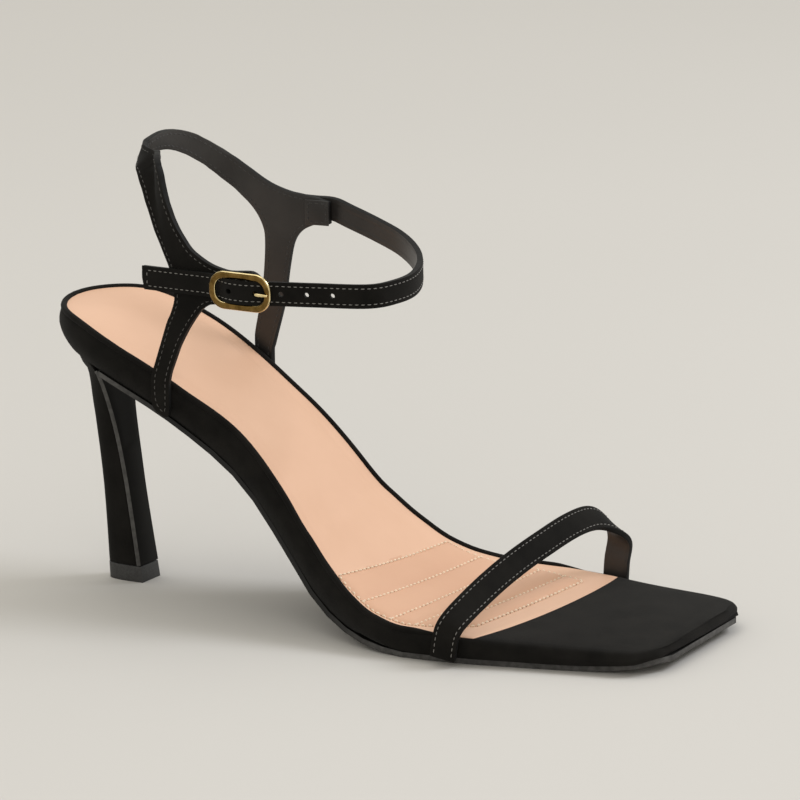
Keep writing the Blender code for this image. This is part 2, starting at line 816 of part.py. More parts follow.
def paddle():
    """Rounded end of the outer branch, behind the buckle."""
    centre = side_place(BUCKLE_PLACE, -1) + 0.5 * MM
    radius = PADDLE_HEIGHT / 2
    points = []
    for k in range(9):
        turn = math.radians(80 - 160 * k / 8)
        points.append((centre - radius * math.cos(turn), STRAP_LEVEL - 0.5 * MM
                       + radius * math.sin(turn)))
    return points


def rear_outline():
    """Unrolled outline of the rear upper, as one closed run."""
    under = edge(LOOP_UNDER_EDGE)
    over = edge(LOOP_OVER_EDGE)
    outer_front = edge(OUTER_FRONT_EDGE)
    inner_front = edge(INNER_FRONT_EDGE)
    reach = BRANCH_REACH * LOOP_REACH
    branch_end = [(reach, BRANCH_LOW * LOOP_TOP), (reach, BRANCH_TOP * LOOP_TOP)]

    def foot(points, first):
        place = points[0] if first else points[-1]
        return (place[0], sole_edge_height(place[0]))

    ring = [foot(under, True)] + under + [foot(under, False)]
    ring += [foot(inner_front, True)] + inner_front + branch_end
    ring += over[::-1] + paddle()
    ring += outer_front[::-1] + [foot(outer_front, True)]
    return ring


def inside(point, ring):
    """Whether a point lies inside a closed outline."""
    x, y = point
    hit = False
    for (x1, y1), (x2, y2) in zip(ring, ring[1:] + ring[:1]):
        if (y1 > y) != (y2 > y) and x < (x2 - x1) * (y - y1) / (y2 - y1) + x1:
            hit = not hit
    return hit


def clear_of(point, ring, distance):
    """Whether a point keeps a distance from every point of an outline."""
    return all(math.hypot(point[0] - x, point[1] - y) > distance for x, y in ring)


def make_rear_upper(material):
    """Quarters and sling: one open wall round the ankle."""
    ring = rear_outline()
    step = 3.2 * MM
    lows = [min(p[i] for p in ring) for i in (0, 1)]
    highs = [max(p[i] for p in ring) for i in (0, 1)]
    fill = []
    for i in range(int((highs[0] - lows[0]) / step) + 1):
        for k in range(int((highs[1] - lows[1]) / step) + 1):
            point = (lows[0] + (i + 0.5 * (k % 2)) * step, lows[1] + k * step)
            if inside(point, ring) and clear_of(point, ring, 1.6 * MM):
                fill.append(point)
    points = [Vector(p) for p in ring + fill]
    flat = delaunay_2d_cdt(points, [], [list(range(len(ring)))], 1, 1e-7)
    spots, faces = [tuple(p) for p in flat[0]], [tuple(f) for f in flat[2]]
    count = len(spots)
    verts = [wall_point(a, up, 0.0) for a, up in spots]
    verts += [wall_point(a, up, WALL) for a, up in spots]
    shell = [tuple(reversed(f)) for f in faces]
    shell += [tuple(i + count for i in f) for f in faces]
    sides = {}
    for face in faces:
        for a, b in zip(face, face[1:] + face[:1]):
            sides[(a, b)] = True
    for a, b in sides:
        if (b, a) not in sides:
            shell.append((a, b, b + count, a + count))
    return add_object("rear_upper", verts, shell, material)


def make_vamp_strap(material):
    """The strap over the toes, glued outside the band on both sides."""
    half = BALL_WIDTH / 2
    points = []
    leans = []
    for row in VAMP_ROWS:
        across, up, along, lean = row
        x = VAMP_BACK + along * VAMP_SKEW
        y = across * half
        band = float(half_width(x, across)) + SIDE_BULGE + 2.5 * GAP
        if abs(across) > 0.95:
            y = math.copysign(band, across)
        points.append((x, y, up * VAMP_RISE))
        leans.append((1.0, 0.0, -lean))

    def foot(side, along, up):
        x = VAMP_BACK + along * VAMP_SKEW
        band = float(half_width(x, side)) + SIDE_BULGE + 2.5 * GAP
        return (x, side * band, up)

    rest = OUTSOLE_THICKNESS + 1.0 * MM
    points = [foot(-1.0, 0.0, rest)] + points + [foot(1.0, 1.0, rest)]
    leans = [(1.0, 0.0, 0.0)] + leans + [(1.0, 0.0, 0.0)]
    path = smooth_path(points, 5)
    tilt = smooth_path(leans, 5)
    return ribbon("vamp_strap", path[::-1], tilt[::-1], VAMP_WIDTH, WALL, material)


def side_frame():
    """Origin and directions of the outer side at the buckle."""
    around = side_place(BUCKLE_PLACE, -1)
    place, outward = ankle_point(around)
    forward = np.array([-outward[1], outward[0]])
    if forward[0] < 0:
        forward = -forward
    return place, forward, outward


def side_point(along, out, up):
    """Point beside the outer quarter: along the strap, out from the wall's inner face."""
    place, forward, outward = side_frame()
    spot = place + forward * along + outward * out
    return np.array([spot[0], spot[1], STRAP_LEVEL + up])


# The prong after its eye: place along as a share of the frame's half length,
# and rise as a share of the way from the centre bar to the frame's top.
PRONG_COLUMNS = ("along", "rise")
PRONG_ROWS = (
    (0.240, 0.10), (0.385, 0.08), (0.455, 0.16), (0.500, 0.34),
    (0.555, 0.64), (0.610, 0.86), (0.720, 1.00), (1.050, 1.00),
)
PRONG_PLACE = 0.49

STRAP_SEAT = WALL + GAP
TAB_LOW = WALL + GAP
BAR_CENTRE = TAB_LOW + 0.1 * MM + PRONG_WIRE + BUCKLE_WIRE / 2
STRAP_OVER = BAR_CENTRE + BUCKLE_WIRE / 2 + 0.2 * MM + TAB_THICKNESS + GAP
STRAP_DIP = 0.55 * STRAP_OVER
FRAME_OUT = STRAP_DIP + WALL + GAP + BUCKLE_WIRE / 2 + 0.4 * MM
TAIL_LENGTH = 37.0 * MM


def strap_profile():
    """How far the strap stands off the quarter, by place along it."""
    half = (BUCKLE_LENGTH - BUCKLE_WIRE) / 2
    return (
        (-TAIL_LENGTH, STRAP_SEAT),
        (-22.0 * MM, STRAP_SEAT),
        (-half - 4.5 * MM, STRAP_SEAT),
        (-half, STRAP_SEAT + 0.22 * (STRAP_OVER - STRAP_SEAT)),
        (-0.42 * half, STRAP_SEAT + 0.86 * (STRAP_OVER - STRAP_SEAT)),
        (-0.18 * half, STRAP_OVER),
        (0.18 * half, STRAP_OVER),
        (0.55 * half, STRAP_DIP + 0.62 * (STRAP_OVER - STRAP_DIP)),
        (half, STRAP_DIP),
        (half + 5.0 * MM, STRAP_SEAT),
    )


def make_ankle_strap(material):
    """The strap round the front of the ankle, through the buckle to its free tail."""
    points = [side_point(a, n, 0.0) for a, n in strap_profile()]
    half = ANKLE_OUTER
    for forward, across, up in STRAP_ROWS:
        points.append(np.array([
            BUCKLE_PLACE + forward * STRAP_REACH,
            across * half,
            STRAP_LEVEL + up * LOOP_TOP,
        ]))
    level = STRAP_LEVEL + 0.083 * LOOP_TOP
    last = side_place(BUCKLE_PLACE - 2.0 * MM, 1)
    for step_back in (0.0, 6.0, 12.0):
        place, _ = ankle_point(last - step_back * MM, WALL + GAP)
        points.append(np.array([place[0], place[1], level + 0.02 * step_back * MM]))
    path = smooth_path(points, 4)
    leans = [np.array([0.0, 0.0, 1.0]) for _ in path]
    strap = ribbon("ankle_strap", path, leans, ANKLE_STRAP_WIDTH, WALL, material)
    length = run_length(path)
    prong_at = PRONG_PLACE * (BUCKLE_LENGTH - BUCKLE_WIRE) / 2
    place, forward, _ = side_frame()
    ahead = (path[:, :2] - place) @ forward
    peak = int(np.argmax(ahead[:60]))
    start = float(np.interp(prong_at, ahead[:peak], length[:peak]))
    tangents = np.gradient(path, axis=0)
    for order in (-1, 0, 1, 2, 3):
        at = start + order * HOLE_PITCH
        point = np.array([np.interp(at, length, path[:, i]) for i in range(3)])
        tangent = np.array([np.interp(at, length, tangents[:, i]) for i in range(3)])
        outward = np.cross((0.0, 0.0, 1.0), tangent)
        outward = outward / np.linalg.norm(outward)
        run = [point - outward * 4.0 * MM, point + outward * 4.0 * MM]
        punch = tube("hole_punch_%d" % (order + 1), run, PRONG_HOLE, None, 12)
        combine(strap, punch, "DIFFERENCE")
    return strap


def make_patch(material):
    """The small lining patch inside the joint of strap and inner branch."""
    reach = BRANCH_REACH * LOOP_REACH
    low = (0.5 * (BRANCH_TOP + BRANCH_LOW)) * LOOP_TOP - PATCH_SIZE / 2
    rings = []
    for k in range(4):
        around = reach - PATCH_SIZE + PATCH_SIZE * k / 3
        ring = []
        for up, out in ((0, 0), (1, 0), (1, 1), (0, 1)):
            stand = -GAP - PATCH_THICKNESS * (1 - out)
            place, _ = ankle_point(around, stand)
            ring.append((place[0], place[1], low + up * PATCH_SIZE))
        rings.append(ring)
    return loft("strap_patch", rings, material)


def make_buckle_frame(material):
    """Rounded frame with a recessed centre bar, in one casting."""
    half_l = (BUCKLE_LENGTH - BUCKLE_WIRE) / 2
    half_h = (BUCKLE_HEIGHT - BUCKLE_WIRE) / 2
    corners = ((-half_l, -half_h), (half_l, -half_h), (half_l, half_h), (-half_l, half_h))
    radius = BUCKLE_CORNER - BUCKLE_WIRE / 2
    loop = rounded_path(corners, (radius,) * 4, closed=True, per_corner=6)
    sides = 8
    verts = []
    faces = []
    count = len(loop)
    for i in range(count):
        before, after = loop[i - 1], loop[(i + 1) % count]
        along = (after - before) / np.linalg.norm(after - before)
        out = np.array([along[1], -along[0]])
        for k in range(sides):
            turn = 2 * math.pi * (k + 0.5) / sides
            flat = loop[i] + out * 0.5 * BUCKLE_WIRE * math.cos(turn)
            verts.append(side_point(flat[0], FRAME_OUT + 0.5 * BUCKLE_WIRE * math.sin(turn), flat[1]))
    for i in range(count):
        for k in range(sides):
            a = i * sides + k
            b = i * sides + (k + 1) % sides
            c = ((i + 1) % count) * sides
            faces.append((a, b, c + (k + 1) % sides, c + k))
    frame = add_object("buckle_frame", verts, faces, material)
    post = BUCKLE_HEIGHT / 2 - BUCKLE_WIRE * 0.55
    bar = [
        side_point(0.0, FRAME_OUT, -post),
        side_point(0.0, BAR_CENTRE, -post + 0.9 * MM),
        side_point(0.0, BAR_CENTRE, post - 0.9 * MM),
        side_point(0.0, FRAME_OUT, post),
    ]
    combine(frame, tube("buckle_bar", bar, BUCKLE_WIRE * 0.94, None, 10), "UNION")
    return frame


def make_buckle_prong(material):
    """The prong: an eye round the centre bar, a run under the strap, a tip over the frame."""
    eye = BUCKLE_WIRE / 2 + 0.1 * MM + PRONG_WIRE / 2
    half_l = (BUCKLE_LENGTH - BUCKLE_WIRE) / 2
    points = []
    for k in range(9):
        turn = math.radians(-60 - 240 * k / 8)
        points.append((eye * math.cos(turn), BAR_CENTRE + eye * math.sin(turn)))
    over = FRAME_OUT + BUCKLE_WIRE / 2 + 0.1 * MM + PRONG_WIRE / 2
    points += [(a * half_l, BAR_CENTRE + n * (over - BAR_CENTRE)) for a, n in PRONG_ROWS]
    path = [side_point(a, n, 0.0) for a, n in points]
    return tube("buckle_prong", path, PRONG_WIRE, material)


def make_buckle_tab(material):
    """The leather tab folded round the centre bar, slotted for the prong."""
    inner = BUCKLE_WIRE / 2 + 0.2 * MM
    outer = inner + TAB_THICKNESS
    turns = [math.radians(a) for a in range(90, -91, -15)]
    nose = [(outer * math.cos(t), BAR_CENTRE + outer * math.sin(t)) for t in turns]
    bore = [(inner * math.cos(t), BAR_CENTRE + inner * math.sin(t)) for t in turns]
    back = -TAB_LENGTH
    low = BAR_CENTRE - outer
    profile = nose + [(back, low), (back, low + 1.2 * TAB_THICKNESS)]
    profile += [(-1.5 * outer, low + 2.2 * TAB_THICKNESS)]
    rings = [[side_point(a, n, up) for a, n in profile]
             for up in (-TAB_WIDTH / 2, TAB_WIDTH / 2)]
    tab = loft("buckle_tab", rings, material)
    turns = [2 * math.pi * k / 20 for k in range(20)]
    for name, low_up, high_up, radius in (
        ("bar_bore", -TAB_WIDTH, TAB_WIDTH, inner),
        ("prong_slot", -PRONG_WIRE / 2 - GAP, PRONG_WIRE / 2 + GAP, outer * 1.25),
    ):
        rings = [[side_point(radius * math.cos(t), BAR_CENTRE + radius * math.sin(t), up)
                  for t in turns] for up in (low_up, high_up)]
        combine(tab, loft(name, rings), "DIFFERENCE")
    return tab


def centre_on_origin(pieces):
    """Put the origin under the middle of the shoe, on the floor."""
    graph = bpy.context.evaluated_depsgraph_get()
    lows, highs = [], []
    for piece in pieces:
        mesh = piece.evaluated_get(graph).to_mesh()
        points = np.array([v.co for v in mesh.vertices])
        lows.append(points.min(axis=0))
        highs.append(points.max(axis=0))
    low = np.min(lows, axis=0)
    high = np.max(highs, axis=0)
    shift = Vector((-(low[0] + high[0]) / 2, -(low[1] + high[1]) / 2, -low[2]))
    for piece in bpy.data.objects:
        piece.location = shift


def main():
    for old in list(bpy.data.objects):
        bpy.data.objects.remove(old)
    nubuck = finish("black_nubuck", (0.012, 0.011, 0.011), 0.9)
    lining = finish("charcoal_lining", (0.045, 0.040, 0.038), 0.6)
    tan = finish("beige_insole", (0.72, 0.49, 0.36), 0.65)
    rubber = finish("sole_rubber", (0.030, 0.030, 0.030), 0.45)
    tread = finish("top_piece_rubber", (0.045, 0.045, 0.045), 0.5)
    gold = finish("gold_metal", (0.83, 0.62, 0.27), 0.22, 1.0)
    pieces = [
        make_footbed(nubuck),
        make_insole(tan),
        make_outsole(rubber),
        make_heel(nubuck),
        make_top_piece(tread),
        make_rear_upper(nubuck),
        make_vamp_strap(nubuck),
        make_ankle_strap(nubuck),
        make_patch(lining),
        make_buckle_frame(gold),
        make_buckle_prong(gold),
        make_buckle_tab(lining),
    ]
    bpy.context.view_layer.update()
    centre_on_origin(pieces)


main()
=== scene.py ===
"""Looks of a right-foot ankle-strap sandal on a slim high heel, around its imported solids."""

import math

import bmesh
import bpy
import numpy as np
from mathutils import Matrix, Vector


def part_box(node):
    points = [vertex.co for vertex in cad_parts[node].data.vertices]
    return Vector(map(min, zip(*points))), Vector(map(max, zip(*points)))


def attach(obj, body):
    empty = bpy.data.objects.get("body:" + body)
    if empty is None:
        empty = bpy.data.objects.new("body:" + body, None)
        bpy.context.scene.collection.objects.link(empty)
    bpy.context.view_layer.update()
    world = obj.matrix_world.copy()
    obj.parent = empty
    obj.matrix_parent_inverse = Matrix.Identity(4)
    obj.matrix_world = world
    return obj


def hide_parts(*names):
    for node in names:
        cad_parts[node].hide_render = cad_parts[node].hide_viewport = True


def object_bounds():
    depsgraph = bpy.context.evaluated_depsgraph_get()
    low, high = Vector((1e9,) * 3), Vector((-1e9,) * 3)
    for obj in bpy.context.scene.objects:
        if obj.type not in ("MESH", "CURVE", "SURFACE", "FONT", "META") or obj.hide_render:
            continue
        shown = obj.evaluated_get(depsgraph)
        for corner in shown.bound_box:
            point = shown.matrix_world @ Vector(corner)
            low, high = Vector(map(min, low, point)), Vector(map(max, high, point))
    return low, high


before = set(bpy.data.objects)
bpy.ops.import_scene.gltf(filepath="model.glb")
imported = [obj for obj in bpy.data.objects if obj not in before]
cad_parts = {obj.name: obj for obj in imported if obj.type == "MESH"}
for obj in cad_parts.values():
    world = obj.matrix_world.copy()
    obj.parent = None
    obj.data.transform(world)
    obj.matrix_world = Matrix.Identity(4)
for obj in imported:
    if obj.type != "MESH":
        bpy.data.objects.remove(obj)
solid_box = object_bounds()

MM = 0.001
MERGE = 0.000002

# The sole, as the solids have it
SOLE_LENGTH = 217.5 * MM
BALL_WIDTH = 84.5 * MM
SEAT_RISE = 79.5 * MM
SOLE_THICKNESS = 8.8 * MM
TOE_SPRING = 3.2 * MM
TOE_CORNER = 9.0 * MM
TOE_ROUND = 13.5 * MM
HEEL_ROUND = 27.0 * MM
SIDE_BULGE = 0.6 * MM
GAP = 0.3 * MM
SOLE_COLUMNS = ("along", "rise", "thick", "outer", "inner")
SOLE_ROWS = (
    (0.000, 1.000, 1.36, 0.325, 0.315),
    (0.078, 0.953, 1.51, 0.330, 0.320),
    (0.162, 0.863, 1.45, 0.349, 0.333),
    (0.245, 0.741, 1.48, 0.342, 0.308),
    (0.329, 0.567, 1.76, 0.324, 0.266),
    (0.412, 0.316, 2.05, 0.361, 0.275),
    (0.454, 0.172, 2.07, 0.388, 0.307),
    (0.495, 0.088, 1.82, 0.425, 0.352),
    (0.537, 0.038, 1.44, 0.462, 0.398),
    (0.578, 0.012, 1.18, 0.492, 0.446),
    (0.628, 0.000, 1.03, 0.508, 0.484),
    (0.706, 0.000, 0.99, 0.497, 0.492),
    (0.789, 0.000, 0.95, 0.458, 0.470),
    (0.858, 0.000, 0.89, 0.422, 0.446),
    (0.917, 0.000, 0.78, 0.395, 0.430),
    (1.000, 0.000, 0.50, 0.370, 0.410),
)
SPRING_START = 0.84
TIP_OUTER = 3.4 * MM

# The insole
INSOLE_RIM = 1.5 * MM
INSOLE_PROUD = 0.3 * MM
INSOLE_THICKNESS = 1.4 * MM
INSOLE_FRONT = 172.5 * MM
INSOLE_FRONT_RADIUS = 170.0 * MM
INSOLE_FRONT_SIDE = 25.0 * MM

# The quilted pad's sewn rows as (outer end, inner end), and its two sides as
# (along, across), in millimetres from the heel's back
PAD_ROWS = (
    (110.5, 116.8), (119.8, 127.0), (130.2, 137.2),
    (138.4, 147.4), (146.2, 157.0), (155.2, 164.4),
)
PAD_OUTER_SIDE = (
    (106.0, -32.0), (112.0, -33.4), (119.0, -35.0), (126.0, -36.8),
    (134.0, -36.9), (144.0, -34.3), (156.0, -28.4),
)
PAD_INNER_SIDE = (
    (112.0, 27.5), (117.0, 29.4), (127.0, 32.2), (137.0, 33.6),
    (147.0, 33.0), (157.0, 30.6), (165.0, 28.2),
)

# The straps
WALL = 1.8 * MM
VAMP_WIDTH = 8.4 * MM
VAMP_RISE = 29.0 * MM
VAMP_BACK = 151.5 * MM
VAMP_SKEW = 17.5 * MM
ANKLE_STRAP_WIDTH = 7.4 * MM
LOOP_TOP = 146.0 * MM
ANKLE_BACK = 33.1 * MM
ANKLE_OUTER = 26.0 * MM
ANKLE_INNER = 24.5 * MM
ANKLE_BACK_SLOPE = 0.079
ANKLE_SPLAY = 0.055
ANKLE_OUTER_RADIUS = 26.0 * MM
ANKLE_INNER_RADIUS = 20.0 * MM
STRAP_REACH = 91.5 * MM
STRAP_LEVEL = 107.2 * MM
TAIL_LENGTH = 37.0 * MM
TAIL_SLANT = 1.3 * MM
STRAP_ROUNDING = 0.22 * MM

# The stitches: on the straps, and larger ones on the quilted pad, with dark dots of painted shade
# at its needle holes
STITCH_INSET = 1.25 * MM
STITCH_PITCH = 1.9 * MM
STITCH_LENGTH = 1.2 * MM
THREAD = 0.30 * MM
STITCH_DEPTH = 0.10 * MM
PAD_PITCH = 2.1 * MM
PAD_STITCH = 1.4 * MM
PAD_THREAD = 0.74 * MM
NEEDLE_HOLE = (0.7 * MM, 0.50 * MM)

# Top corner of the heel's breast on the outer side, in millimetres, and the
# direction square to the outsole's end there
BREAST_TOP = (22.9, -28.0, 73.5)
BREAST_SLANT = (-0.5, -0.079, 0.87)

# Where the sole's finish starts to draw in at the toe's tip and along the
# forepart, the foot and the widest part of its side band, where the heel draws in
# under the seat, and the rim's bead with its two ends and its turn round the heel
# in millimetres from the heel's back
TIP_START = 205.0 * MM
TIP_REACH = 8.0 * MM
FOREPART_START = 120.0 * MM
FOREPART_REACH = 40.0 * MM
BAND_FOOT = 1.95 * MM
BAND_WIDEST = 3.7 * MM
BAND_DROP = 0.9 * MM
SEAT_DRAW = 72.5 * MM
RIM_BEAD = 2.0 * MM
RIM_FADE = 16.0 * MM
RIM_ENDS = (157.0, 166.0)
RIM_TURN = 12.0

# The buckle
BUCKLE_PLACE = 80.4 * MM
BUCKLE_LENGTH = 21.8 * MM
BUCKLE_WIRE = 1.7 * MM
BUCKLE_BAND = 2.3 * MM
FRAME_CORNER = 5.4 * MM
FRAME_HEIGHT = 11.9 * MM
TAB_THICKNESS = 1.0 * MM
PRONG_WIRE = 1.2 * MM
PRONG_HOLE = 1.6 * MM
HOLE_PITCH = 8.1 * MM

# The sling leans inwards at its top where it turns behind the outer branch;
# its lower edge as (around, up), in millimetres
SLING_LEAN = 5.5 * MM
LEAN_PLACE = -19.0 * MM
LEAN_REACH = 17.5 * MM
LEAN_START = 0.8 * MM
LEAN_RISE = 5.0 * MM
SLING_UNDER_ROWS = (
    (-38.5, 102.5), (-36.5, 111.3), (-31.1, 121.3), (-26.3, 129.6),
    (-22.1, 134.8), (-17.0, 137.7), (-8.0, 138.8), (20.0, 138.6),
)

# The vamp strap's way over the toes as (across, up, along, lean), in shares of
# the ball's half width, the strap's rise and its skew
VAMP_ROWS = (
    (-1.00, 0.32, 0.06, 0.25),
    (-0.97, 0.46, 0.16, 0.50),
    (-0.84, 0.60, 0.26, 0.90),
    (-0.58, 0.74, 0.38, 1.15),
    (-0.30, 0.86, 0.52, 1.30),
    (0.00, 0.95, 0.66, 1.40),
    (0.36, 1.02, 0.80, 1.35),
    (0.66, 1.00, 0.90, 1.10),
    (0.86, 0.86, 1.02, 0.80),
    (0.965, 0.66, 1.09, 0.45),
    (0.985, 0.42, 1.04, 0.10),
)

# The ankle strap's way round the ankle as (forward, across, up), in shares of its
# reach, the ankle's outer half and the loop's top
STRAP_ROWS = (
    (0.25, -1.155, 0.001),
    (0.415, -1.00, 0.002),
    (0.467, -0.70, 0.003),
    (0.477, -0.31, 0.005),
    (0.437, 0.16, 0.011),
    (0.360, 0.58, 0.020),
    (0.262, 0.88, 0.034),
    (0.150, 1.03, 0.052),
    (0.040, 1.095, 0.072),
)

# The prong from its eye to its tip as (along, rise), in shares of the buckle's
# half length and of the frame's height above the bar
PRONG_ROWS = (
    (0.240, 0.10), (0.385, 0.08), (0.455, 0.16), (0.500, 0.34),
    (0.555, 0.64), (0.610, 0.86), (0.720, 1.00), (1.050, 1.00),
)
PRONG_PLACE = 0.49

# The camera: its place from the heel's back in millimetres, the point it looks
# at and its roll in degrees; and the point that the lamps face
CAMERA_PLACE = (829.3, -1411.06, 476.73)
AIM = (0.0065, 0.0011, 0.0686)
ROLL = -0.83
LENS = 239.0
LIT_PLACE = (0.0, 0.0, 0.05)

# Where the heel's back and the shoe's middle line lie in the shared frame
HEEL_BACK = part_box("footbed")[0][0] + SIDE_BULGE
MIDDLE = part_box("top_piece")[0][1] + TIP_OUTER
PLACE = np.array([HEEL_BACK, MIDDLE, 0.0])


def rise(value, start, reach):
    """A share that rises from 0 to 1 over a reach."""
    return np.clip((value - start) / reach, 0.0, 1.0)


def fall(value, end, reach):
    """A share that falls from 1 to 0 over the reach before an end."""
    return np.clip((end - value) / reach, 0.0, 1.0)


def groove(distance, width):
    """A smooth hollow's share of its depth at a distance from its middle."""
    return np.exp(-((distance / width) ** 2))


def ease(knots, values, query):
    """Smooth curve through a table's rows that never overshoots them."""
    knots = np.asarray(knots, dtype=float)
    values = np.asarray(values, dtype=float)
    steps = np.diff(knots)
    slopes = np.diff(values) / steps
    tangents = np.zeros(len(knots))
    tangents[0] = slopes[0]
    tangents[-1] = slopes[-1]
    for i in range(1, len(knots) - 1):
        before, after = slopes[i - 1], slopes[i]
        if before * after > 0.0:
            w1 = 2.0 * steps[i] + steps[i - 1]
            w2 = steps[i] + 2.0 * steps[i - 1]
            tangents[i] = (w1 + w2) / (w1 / before + w2 / after)
    query = np.clip(np.asarray(query, dtype=float), knots[0], knots[-1])
    span = np.clip(np.searchsorted(knots, query, side="right") - 1, 0, len(steps) - 1)
    u = (query - knots[span]) / steps[span]
    h = steps[span]
    return (
        (2 * u**3 - 3 * u**2 + 1) * values[span]
        + (u**3 - 2 * u**2 + u) * h * tangents[span]
        + (3 * u**2 - 2 * u**3) * values[span + 1]
        + (u**3 - u**2) * h * tangents[span + 1]
    )


def smooth_path(points, per_span=12):
    """Points on a smooth curve through the given points."""
    points = [np.asarray(p, dtype=float) for p in points]
    ring = [2 * points[0] - points[1]] + points + [2 * points[-1] - points[-2]]
    path = []
    for i in range(1, len(ring) - 2):
        a, b, c, d = ring[i - 1], ring[i], ring[i + 1], ring[i + 2]
        for k in range(per_span):
            u = k / per_span
            path.append(0.5 * (
                2 * b + (c - a) * u + (2 * a - 5 * b + 4 * c - d) * u**2
                + (3 * b - a - 3 * c + d) * u**3
            ))
    path.append(points[-1])
    return np.array(path)


def rounded_path(points, radii, closed=False, per_corner=10):
    """A run of straight lines whose corners are turned into arcs."""
    points = [np.asarray(p, dtype=float) for p in points]
    count = len(points)
    path = [] if closed else [points[0]]
    corners = range(count) if closed else range(1, count - 1)
    for i in corners:
        before = unit(points[(i - 1) % count] - points[i])
        after = unit(points[(i + 1) % count] - points[i])
        half = 0.5 * math.acos(float(np.clip(before @ after, -1.0, 1.0)))
        radius = radii[i if closed else i - 1]
        centre = points[i] + unit(before + after) * radius / math.sin(half)
        start = points[i] + before * radius / math.tan(half) - centre
        end = points[i] + after * radius / math.tan(half) - centre
        turn = math.pi - 2.0 * half
        for k in range(per_corner + 1):
            u = k / per_corner
            path.append(centre + (
                start * math.sin((1 - u) * turn) + end * math.sin(u * turn)
            ) / math.sin(turn))
    if not closed:
        path.append(points[-1])
    return np.array(path)


def unit(vectors):
    """Vectors brought to a length of one."""
    return vectors / np.linalg.norm(vectors, axis=-1, keepdims=True)


def run_length(path):
    """Distance along a path at each of its points."""
    steps = np.linalg.norm(np.diff(path, axis=0), axis=1)
    return np.concatenate(([0.0], np.cumsum(steps)))


def along_run(query, length, values):
    """Values that go along a run, such as its places, at distances along it."""
    return np.stack([np.interp(query, length, part) for part in values.T], axis=-1)


def directions(path):
    """Unit directions along a path."""
    return unit(np.gradient(np.asarray(path, dtype=float), axis=0))


# The last that the pieces are shaped on
def sole_value(name, x):
    """A column of the sole's table at a place along the sole."""
    columns = dict(zip(SOLE_COLUMNS, zip(*SOLE_ROWS)))
    return ease(columns["along"], columns[name], np.asarray(x) / SOLE_LENGTH)


def underside(x):
    """Height of the outsole's underside."""
    lift = rise(np.asarray(x) / SOLE_LENGTH, SPRING_START, 1.0 - SPRING_START)
    return sole_value("rise", x) * SEAT_RISE + TOE_SPRING * lift**2


def topside(x):
    """Height of the footbed's top."""
    return underside(x) + sole_value("thick", x) * SOLE_THICKNESS


def half_width(x, side, inset=0.0):
    """Half width of the sole's outline, moved in by an inset."""
    x = np.asarray(x, dtype=float)
    width = sole_value("outer" if side < 0 else "inner", x) * BALL_WIDTH - inset
    back = 1.0 - rise(x, inset, HEEL_ROUND - inset)
    front = rise(x, SOLE_LENGTH - TOE_CORNER, TOE_CORNER)
    return width * np.sqrt(1.0 - back**2) - TOE_CORNER * (1.0 - np.sqrt(1.0 - front**2))


def rounder_toe(points):
    """Widen the radius of the toe's two front corners."""
    points = points.copy()
    straight = TOE_ROUND - TOE_CORNER
    for side in (-1, 1):
        centre = np.array([
            SOLE_LENGTH - TOE_ROUND,
            half_width(SOLE_LENGTH - TOE_CORNER, side) - TOE_ROUND])
        spot = np.stack((points[:, 0], side * points[:, 1]), axis=1) - centre
        reach = np.hypot(spot[:, 0], spot[:, 1])
        corner = (spot[:, 0] > 0) & (spot[:, 1] > 0)
        way = spot[corner] / reach[corner, None]
        toward = straight * way.sum(axis=1)
        old = toward + np.sqrt(toward**2 - 2 * straight**2 + TOE_CORNER**2)
        longest = way.max(axis=1)
        flat = TOE_ROUND * way.min(axis=1) / longest < straight
        old = np.where(flat, TOE_ROUND / longest, old)
        share = TOE_ROUND / old
        points[corner, 0] = centre[0] + spot[corner, 0] * share
        points[corner, 1] = side * (centre[1] + spot[corner, 1] * share)
    return points


def insole_front(y):
    """Place of the insole's curved front edge."""
    across = np.asarray(y) - INSOLE_FRONT_SIDE
    centre = INSOLE_FRONT - INSOLE_FRONT_RADIUS
    return centre + np.sqrt((INSOLE_FRONT_RADIUS - GAP) ** 2 - across**2)


def ankle_plan():
    """Inner face of the rear upper seen from above, and distance along it."""
    reach = 1.6 * STRAP_REACH
    inner_back = ANKLE_BACK - ANKLE_BACK_SLOPE * (ANKLE_OUTER + ANKLE_INNER)
    plan = rounded_path((
        (ANKLE_BACK + reach, -ANKLE_OUTER - ANKLE_SPLAY * reach),
        (ANKLE_BACK, -ANKLE_OUTER),
        (inner_back, ANKLE_INNER),
        (ANKLE_BACK + reach, ANKLE_INNER + ANKLE_SPLAY * reach),
    ), (ANKLE_OUTER_RADIUS, ANKLE_INNER_RADIUS), per_corner=8)
    length = run_length(plan)
    back = plan[:, 0] < ANKLE_BACK + 5.0 * MM
    middle = np.interp(0.0, plan[back][:, 1], length[back])
    return plan, length - middle


def ankle_point(around, out=0.0):
    """Point and outward direction on the ankle's plan."""
    plan, length = ankle_plan()
    step = 0.4 * MM
    behind, place, ahead = (
        along_run(around + shift, length, plan) for shift in (-step, 0.0, step))
    along = unit(ahead - behind)
    outward = np.array([-along[1], along[0]])
    return place + outward * out, outward


def side_place(x, side):
    """Distance round the ankle's plan at a place along the shoe, on one side."""
    plan, length = ankle_plan()
    half = plan[:, 1] * side > 0
    run = plan[half]
    order = np.argsort(run[:, 0])
    return float(np.interp(x, run[order, 0], length[half][order]))


def side_frame():
    """Origin and directions of the outer side at the buckle."""
    place, outward = ankle_point(side_place(BUCKLE_PLACE, -1))
    forward = np.array([-outward[1], outward[0]])
    if forward[0] < 0:
        forward = -forward
    return place, forward, outward


def side_point(along, out, up):
    """Point beside the outer quarter: along the strap, out from the wall, and up."""
    place, forward, outward = side_frame()
    spot = place + forward * along + outward * out
    return np.array([spot[0], spot[1], STRAP_LEVEL + up])


